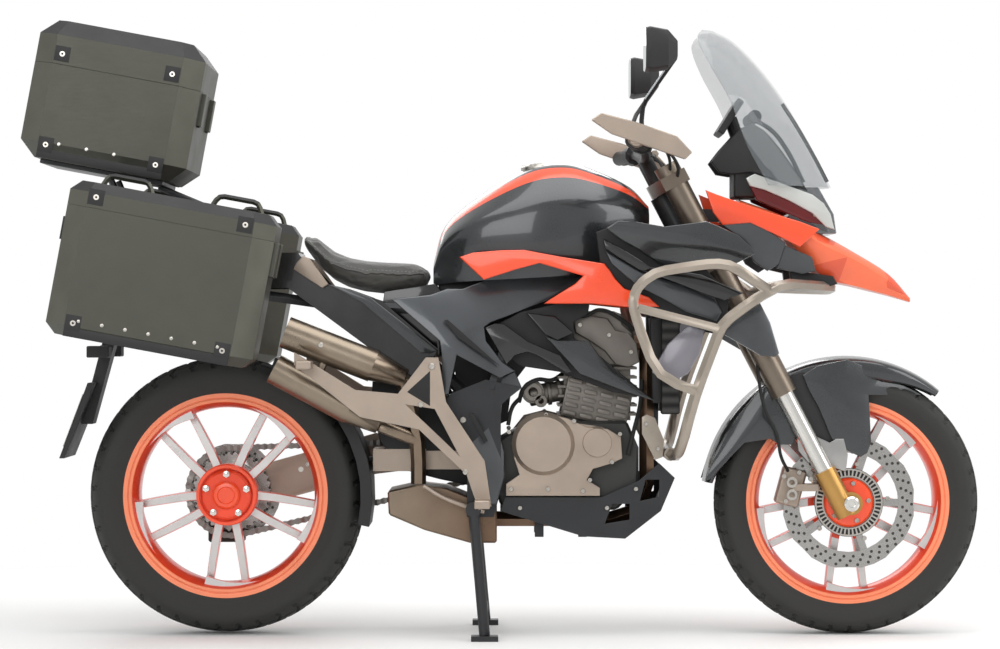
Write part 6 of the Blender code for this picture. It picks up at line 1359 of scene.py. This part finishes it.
def makeScreen(values):
    bm = bmesh.new()
    chains = []
    for up, middle, edge, half in smoothRows(values["rows"], 5):
        verts = []
        for index in range(33):
            across = index / 16 - 1
            bow = max(math.cos(across * math.pi / 2), 0.0) ** 0.8
            verts.append(bm.verts.new(spot(values["rear"] + values["reach"] * (edge + (middle - edge) * bow),
                                           values["half"] * half * across,
                                           values["foot"] + values["height"] * up)))
        chains.append([bm.edges.new(pair) for pair in zip(verts, verts[1:])])
    for first, second in zip(chains, chains[1:]):
        bmesh.ops.bridge_loops(bm, edges=first + second)
    bmesh.ops.recalc_face_normals(bm, faces=bm.faces)
    bmesh.ops.solidify(bm, geom=bm.faces[:], thickness=values["thickness"])
    piece = finishPiece("screenShell", bm, smokeScreen, "chassis", 40)
    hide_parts("windscreen")
    strip = [seenSpot(column, row, 0.0) + Vector((-0.004, 0, 0)) for column, row in values["strip"]]
    tubePiece("screenStrip", [strip], 0.0045, blackGrained, "chassis")
    arms = []
    for side in (-1, 1):
        arms.append([seenSpot(752, 122, 0) + Vector((0, side * 0.070, 0)),
                     seenSpot(768, 132, 0) + Vector((0, side * 0.078, 0)),
                     seenSpot(782, 150, 0) + Vector((0, side * 0.086, 0)),
                     seenSpot(800, 184, 0) + Vector((0, side * 0.078, 0))])
    tubePiece("screenArms", arms, 0.0052, blackGloss, "chassis")
    bm = bmesh.new()
    for side in (-1, 1):
        at = seenSpot(752, 119, 0) + Vector((0, side * 0.080, 0))
        addDome(bm, at, (0, side, 0), [(0, -0.012), (0.015, -0.012), (0.015, 0.004), (0.012, 0.007),
                                       (0.006, 0.007), (0.005, 0.004), (0, 0.004)], 32)
    finishPiece("screenKnobs", bm, blackGrained, "chassis", 30)


def makeGuard(values):
    forkBody = frame["nodes"]["fork"]["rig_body"]
    rings = []
    for index in range(37):
        way = index / 36
        turn = math.radians(values["from"] + (values["to"] - values["from"]) * way)
        narrow = 1 - 0.55 * max(0.0, 1 - way / 0.22) ** 1.4
        drop = values["drop"] * min(1.0, 0.25 + way * 4, 0.25 + (1 - way) * 5)
        half = values["half"] * narrow
        outer = [(half * 0.99, -drop), (half, -drop * 0.45), (half * 0.93, -0.002), (half * 0.72, 0.0035),
                 (half * 0.36, values["crown"] - 0.002), (0.0, values["crown"])]
        curved = [(point.x, point.y) for point in curveThrough([(a, b, 0) for a, b in outer], 3)]
        inner = [(max(across - values["thickness"], 0.0), up - values["thickness"] * 0.9) for across,
                 up in curved]
        profile = curved + [(-across, up) for across, up in reversed(curved[:-1])]
        profile += [(-across, up) for across, up in inner] + list(reversed(inner[:-1]))
        out = Vector((math.cos(turn), 0, math.sin(turn)))
        rings.append([frontAxle + out * (values["radius"] + up) + Vector((0, across, 0))
                      for across, up in profile])
    bm = bmesh.new()
    addLoft(bm, rings)
    blade = finishPiece("mudguardBlade", bm, darkPaint, forkBody, 35)
    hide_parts("front_mudguard")
    for name, (material, reach, thickness, outline, folds) in values["panels"].items():
        coverPair(name, {"outlines": [outline], "folds": folds, "reach": reach, "thickness": thickness,
                         "soften": 0.002, "material": material, "slot": "body_grey"}, forkBody)


makeScreen(screenSettings)
makeGuard(guardSettings)
print("screen and mudguard made")


# Handlebar: grips, bar ends, levers, reservoir, cables; mirror glass
barSettings = {"gripLength": 0.110, "gripRadius": 0.0172, "ridges": 14, "endRadius": 0.0165,
               "leverAhead": 0.052}


def barAxis(side, low, high):
    # middle of the handlebar's tube between two distances from the bike's middle
    places = [vert.co for vert in frame["nodes"]["handlebar"].data.vertices if low < side * vert.co.y < high]
    return sum(places, Vector()) / len(places)


def makeGrips(values):
    barBody = frame["nodes"]["handlebar"]["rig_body"]
    rubber, metal, black = bmesh.new(), bmesh.new(), bmesh.new()
    levers = []
    for side in (-1, 1):
        tip = max((vert.co for vert in frame["nodes"]["handlebar"].data.vertices), key=lambda co: side * co.y)
        outer, inner = barAxis(side, abs(tip.y) - 0.004, abs(tip.y) + 0.004), barAxis(side, 0.10, 0.30)
        run = (outer - inner).normalized()
        steps = values["ridges"]
        profile = [(0.0118, 0)]
        for index in range(steps):
            start = values["gripLength"] * index / steps
            wide = values["gripLength"] / steps
            profile += [(values["gripRadius"], start + wide * 0.1), (values["gripRadius"], start + wide * 0.6),
                        (values["gripRadius"] - 0.0012, start + wide * 0.7),
                        (values["gripRadius"] - 0.0012, start + wide)]
        profile.append((0.0118, values["gripLength"]))
        foot = outer - run * (values["gripLength"] + 0.004)
        made = addTurned(rubber, profile, 32)
        bmesh.ops.transform(rubber, matrix=aimed(foot, run), verts=made)
        addRing(rubber, foot, run, 0.0215, 0.0120, 0.006, 32)
        addBar(metal, outer - run * 0.003, outer + run * 0.016, values["endRadius"], 32, 0.0145, 0.002)
        pivot = foot - run * 0.034 + Vector((values["leverAhead"] * 0.55, 0, 0.004))
        levers.append([pivot, pivot + Vector((0.014, side * 0.030, 0.0)),
                       pivot + Vector((values["leverAhead"] * 0.45, side * 0.075, -0.002)),
                       pivot + Vector((values["leverAhead"] * 0.40, side * 0.150, -0.006))])
        addBlock(black, foot - run * 0.026, (0.034, 0.036, 0.034), None, 0.006)
        addBlock(black, pivot + Vector((-0.004, 0, 0.0)), (0.030, 0.026, 0.016), None, 0.005)
    tubePiece("barLevers", levers, 0.0046, blackGloss, barBody)
    finishPiece("barGrips", rubber, gripRubber, barBody, 30)
    finishPiece("barEnds", metal, champagneCast, barBody, 30)
    finishPiece("barControls", black, blackGrained, barBody, 30)
    cables = []
    for side in (-1, 1):
        start = barAxis(side, 0.18, 0.26)
        for spread, drop in ((0.0, 0.0), (0.016, 0.014)):
            cables.append([start + Vector((0.018, 0, 0.004)),
                           start + Vector((0.050 + spread, -side * 0.05, -0.012 - drop)),
                           start + Vector((0.062 + spread, -side * 0.11, -0.055 - drop)),
                           start + Vector((0.052, -side * 0.155, -0.105))])
    tubePiece("barCables", cables, 0.0036, gripRubber, barBody)


def makeMirrorGlass():
    for nodeName in ("mirror_left", "mirror_right"):
        shell = bpy.data.objects[nodeName + "_finished"]
        shell.data.materials.append(mirrorGlass)
        for polygon in shell.data.polygons:
            if polygon.normal.x < -0.85 and polygon.area > 0.0004:
                polygon.material_index = 1


makeGrips(barSettings)
makeMirrorGlass()
print("handlebar made")


# Small parts: filler cap, seat piping and stitches, blank plate, bolts found on the parts they hold
capSettings = {"along": 0.50, "radius": 0.034, "height": 0.007, "screws": 6}
seamSettings = {
    "rows": [(0.03, 0.86), (0.12, 0.66), (0.20, 0.52), (0.42, 0.42), (0.70, 0.42), (0.88, 0.42)],
    "halfShares": [0.70, 0.95, 1.0, 1.0, 0.86, 0.64], "rear": 0.173, "length": 0.330, "foot": 0.767,
    "height": 0.146, "half": 0.125, "piping": 0.0019, "stitchStep": 0.009, "stitchLong": 0.0055,
}
boltTable = [
    # part it sits on, column and row in the picture, radius
    ("footrest_right", 432.5, 366, 0.0070), ("footrest_right", 465.7, 470.6, 0.0060),
    ("footrest_right", 421.5, 404, 0.0060), ("footrest_right", 484, 505, 0.0100),
    ("footrest_right", 392, 392, 0.0060), ("frame", 463, 420, 0.0070), ("frame", 480, 470, 0.0070),
    ("fork", 690, 196, 0.0060), ("fork", 840, 488, 0.0060), ("crash_bars", 666, 262, 0.0050),
    ("swingarm", 300, 470, 0.0060), ("hugger", 352, 420, 0.0050), ("silencers", 322, 345, 0.0060),
    ("silencers", 338, 384, 0.0070), ("luggage_carrier", 288, 232, 0.0055), ("headlamp", 818, 214, 0.0040),
]


def faceOf(nodeName, origin, direction):
    # where a line first meets a part, with the way its face looks
    mesh = frame["nodes"][nodeName].data
    tree = BVHTree.FromPolygons([vert.co for vert in mesh.vertices],
                                [polygon.vertices[:] for polygon in mesh.polygons])
    return tree.ray_cast(origin, direction)[:2]


def makeBolts():
    bm = bmesh.new()
    placed = 0
    for nodeName, column, row, radius in boltTable:
        body = frame["nodes"][nodeName]["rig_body"]
        x, z = seenAt(column, row, 0.15)
        at, normal = faceOf(nodeName, Vector((x, -1, z)), Vector((0, 1, 0)))
        if at is None or normal.y > -0.8 or body != "chassis":
            continue
        placed += 1
        for side in (1, -1):
            addScrew(bm, (at.x, (at.y + 0.0005) * side, at.z), (0, -side, 0), radius, radius * 0.6)
    finishPiece("frameBolts", bm, zincSteel, "chassis", 30)
    print("bolts placed:", placed)


def makeCap(values):
    x = rearAxle.x + tankSettings["rear"] + tankSettings["length"] * values["along"]
    z = tankSettings["floor"] + tankSettings["height"] * 0.938
    radius, height = values["radius"], values["height"]
    bm = bmesh.new()
    addDome(bm, (x, 0, z - 0.008), (0, 0, 1), [(0, 0), (radius * 1.35, 0), (radius * 1.35, height + 0.006),
                                               (radius * 1.25, height + 0.009), (radius * 1.06, height + 0.009),
                                               (radius * 1.04, height + 0.007), (radius, height + 0.007),
                                               (radius, height + 0.010), (radius * 0.9, height + 0.013),
                                               (radius * 0.2, height + 0.014), (0, height + 0.014)], 64)
    addBlock(bm, (x - 0.004, 0, z + height + 0.006), (0.026, 0.012, 0.004), None, 0.0015)
    for index in range(values["screws"]):
        turn = 2 * math.pi * index / values["screws"]
        addScrew(bm, (x + radius * 1.16 * math.cos(turn), radius * 1.16 * math.sin(turn), z + height),
                 (0, 0, 1), 0.0032, 0.003)
    finishPiece("fillerCap", bm, zincSteel, "chassis", 30)


def makeSeams(values):
    mesh = seatPad.data
    tree = BVHTree.FromPolygons([vert.co for vert in mesh.vertices],
                                [polygon.vertices[:] for polygon in mesh.polygons])
    routes = []
    stitches = bmesh.new()
    for side in (-1, 1):
        row = [spot(values["rear"] + values["length"] * along, side * values["half"] * half,
                    values["foot"] + values["height"] * up)
               for (along, up), half in zip(values["rows"], values["halfShares"])]
        route, inner = [], []
        for point in curveThrough(row, 8):
            at, normal = tree.find_nearest(point)[:2]
            route.append(at + normal * 0.0004)
            inner.append(tree.find_nearest(at + Vector((0, -side * 0.010, 0.006)))[:2])
        routes.append(route)
        done = 0.0
        for (start, startNormal), (end, _) in zip(inner, inner[1:]):
            run = end - start
            while done < run.length:
                at = start + run * (done / run.length) + startNormal * 0.0004
                addBar(stitches, at, at + run.normalized() * values["stitchLong"], 0.00055, 6)
                done += values["stitchStep"]
            done -= run.length
    tubePiece("seatPiping", routes, values["piping"], seatVinyl, "chassis")
    finishPiece("seatStitches", stitches, threadGrey, "chassis", 60)


plateSettings = {"at": (-0.96851 - 0.0006, 0, 0.485), "facing": (-0.935876, 0, 0.35233),
                 "size": (0.0012, 0.180, 0.125), "screwAside": 0.055, "screwUp": 0.045}


def makeTailParts(values):
    # a blank plate on the board, held by two screws
    low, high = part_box("plate_holder")
    board = Vector(values["at"])
    facing = Vector(values["facing"]).normalized()
    turn = facing.to_track_quat("X", "Z").to_matrix()
    bm = bmesh.new()
    addBlock(bm, board + facing * 0.0008, values["size"], turn, 0.0004)
    finishPiece("blankPlate", bm, whitePlate, "chassis", 30)
    bm = bmesh.new()
    for side in (-1, 1):
        aside = Vector((0, side * values["screwAside"], 0)) + turn @ Vector((0, 0, values["screwUp"]))
        addScrew(bm, board + facing * 0.0014 + aside, facing, 0.0045, 0.0025)
    finishPiece("plateScrews", bm, zincSteel, "chassis", 30)


def makePegShade(outline):
    # painted shade: a near-black plate across the opening in the passenger peg's bracket
    x, z = seenAt(424, 390, 0.15)
    at, normal = faceOf("footrest_right", Vector((x, -1, z)), Vector((0, 1, 0)))
    bm = bmesh.new()
    addPlate(bm, [seenAt(column, row, -at.y) for column, row in outline], at.y + 0.002, at.y - 0.0006, 0.0002)
    mirrorAcross(bm)
    finishPiece("pegWindowShade", bm, shadowPlastic, "chassis", 30)


makePegShade([(430, 371), (407, 392), (430, 406)])
makeCap(capSettings)
makeSeams(seamSettings)
makeBolts()
makeTailParts(plateSettings)
tubePiece("brakePedal", [[seenSpot(424, 486, 0.150), seenSpot(440, 496, 0.158), seenSpot(462, 505, 0.160),
                          seenSpot(484, 512, 0.152)]], 0.0050, champagneCast, "chassis")
print("small parts made")


# Floor, light and camera, at the photograph's angle
stageSettings = {"floorReach": 9.0, "clearFrom": 1.5, "whiteFrom": 2.6, "worldStrength": 0.75}


def makeStage(values):
    bm = bmesh.new()
    bmesh.ops.create_grid(bm, x_segments=24, y_segments=24, size=values["floorReach"])
    mesh = bpy.data.meshes.new("studioFloor")
    bm.to_mesh(mesh)
    bm.free()
    floor = bpy.data.objects.new("studioFloor", mesh)
    bpy.context.scene.collection.objects.link(floor)
    material, shader = newMaterial("paperFloorWhite", "#f2f2f1", 0.8)
    broad = addNode(material, "TexNoise", {"Scale": 3.0, "Vector": objectCoords(material)}, "Fac")
    gloss = addNode(material, "MapRange", {0: broad, 1: 0.3, 2: 0.7, 3: 0.75, 4: 0.85}, 0)
    material.node_tree.links.new(gloss, shader.inputs["Roughness"])
    # white from a distance on, for what is seen directly, in a reflection or through glass
    spread = objectCoords(material, (0, 0, 0), (0.75, 1.3, 1))
    distance = addNode(material, "VectorMath", {"operation": "LENGTH", 0: spread}, "Value")
    share = addNode(material, "MapRange", {0: distance, 1: values["clearFrom"], 2: values["whiteFrom"],
                                           3: 0.0, 4: 1.0}, 0)
    seen = addNode(material, "LightPath", {})
    visible = seen["Is Camera Ray"]
    for ray in ("Is Transmission Ray", "Is Glossy Ray"):
        visible = addNode(material, "Math", {"operation": "MAXIMUM", 0: visible, 1: seen[ray]}, 0)
    share = addNode(material, "Math", {"operation": "MULTIPLY", 0: share, 1: visible}, 0)
    white = addNode(material, "Emission", {"Color": (1, 1, 1, 1), "Strength": 1.0}, 0)
    mix = addNode(material, "MixShader", {0: share, 1: shader.outputs[0], 2: white}, 0)
    output = next(node for node in material.node_tree.nodes if node.type == "OUTPUT_MATERIAL")
    material.node_tree.links.new(mix, output.inputs["Surface"])
    mesh.materials.append(material)


def makeWorld(values):
    world = bpy.data.worlds.new("studioWorld")
    world.use_nodes = True
    bpy.context.scene.world = world
    background = world.node_tree.nodes["Background"]
    seen = addNode(world, "LightPath", {})
    clear = addNode(world, "Math", {"operation": "MAXIMUM", 0: seen["Is Camera Ray"],
                                    1: seen["Is Transmission Ray"]}, 0)
    level = addNode(world, "MapRange", {"Value": clear, "To Min": values["worldStrength"], "To Max": 1.0}, 0)
    world.node_tree.links.new(level, background.inputs["Strength"])
    background.inputs["Color"].default_value = (1, 1, 1, 1)


lampTable = [
    # name, place, width, height, watts
    ("overheadBox", (0.2, -0.6, 3.6), 4.0, 2.6, 75.0),
    ("sideBox", (-1.4, -4.2, 2.0), 2.4, 2.0, 42.0),
    ("frontBox", (3.4, -1.6, 1.9), 1.6, 2.2, 36.0),
    ("backBox", (-0.6, 3.4, 2.4), 3.0, 1.6, 34.0),
]


def makeLamps(table):
    for name, at, wide, tall, watts in table:
        data = bpy.data.lights.new(name, "AREA")
        data.shape = "RECTANGLE"
        data.size, data.size_y, data.energy = wide, tall, watts
        lamp = bpy.data.objects.new(name, data)
        lamp.location = at
        lamp.rotation_euler = (Vector((0, 0, 0.6)) - Vector(at)).to_track_quat("-Z", "Y").to_euler()
        bpy.context.scene.collection.objects.link(lamp)


def makeCamera(values):
    data = bpy.data.cameras.new("studioCamera")
    data.lens = values["lens"]
    data.sensor_width = 36.0
    data.clip_end = 60.0
    camera = bpy.data.objects.new("studioCamera", data)
    camera.location = (rearAxle.x + values["cameraX"], -values["cameraBack"], values["cameraHeight"])
    camera.rotation_euler = (math.pi / 2, 0, 0)
    bpy.context.scene.collection.objects.link(camera)
    bpy.context.scene.camera = camera


makeStage(stageSettings)
makeWorld(stageSettings)
makeLamps(lampTable)
makeCamera(viewSettings)
bpy.context.scene.view_settings.view_transform = "Standard"
print("stage, lamps and camera placed")

bpy.context.view_layer.update()
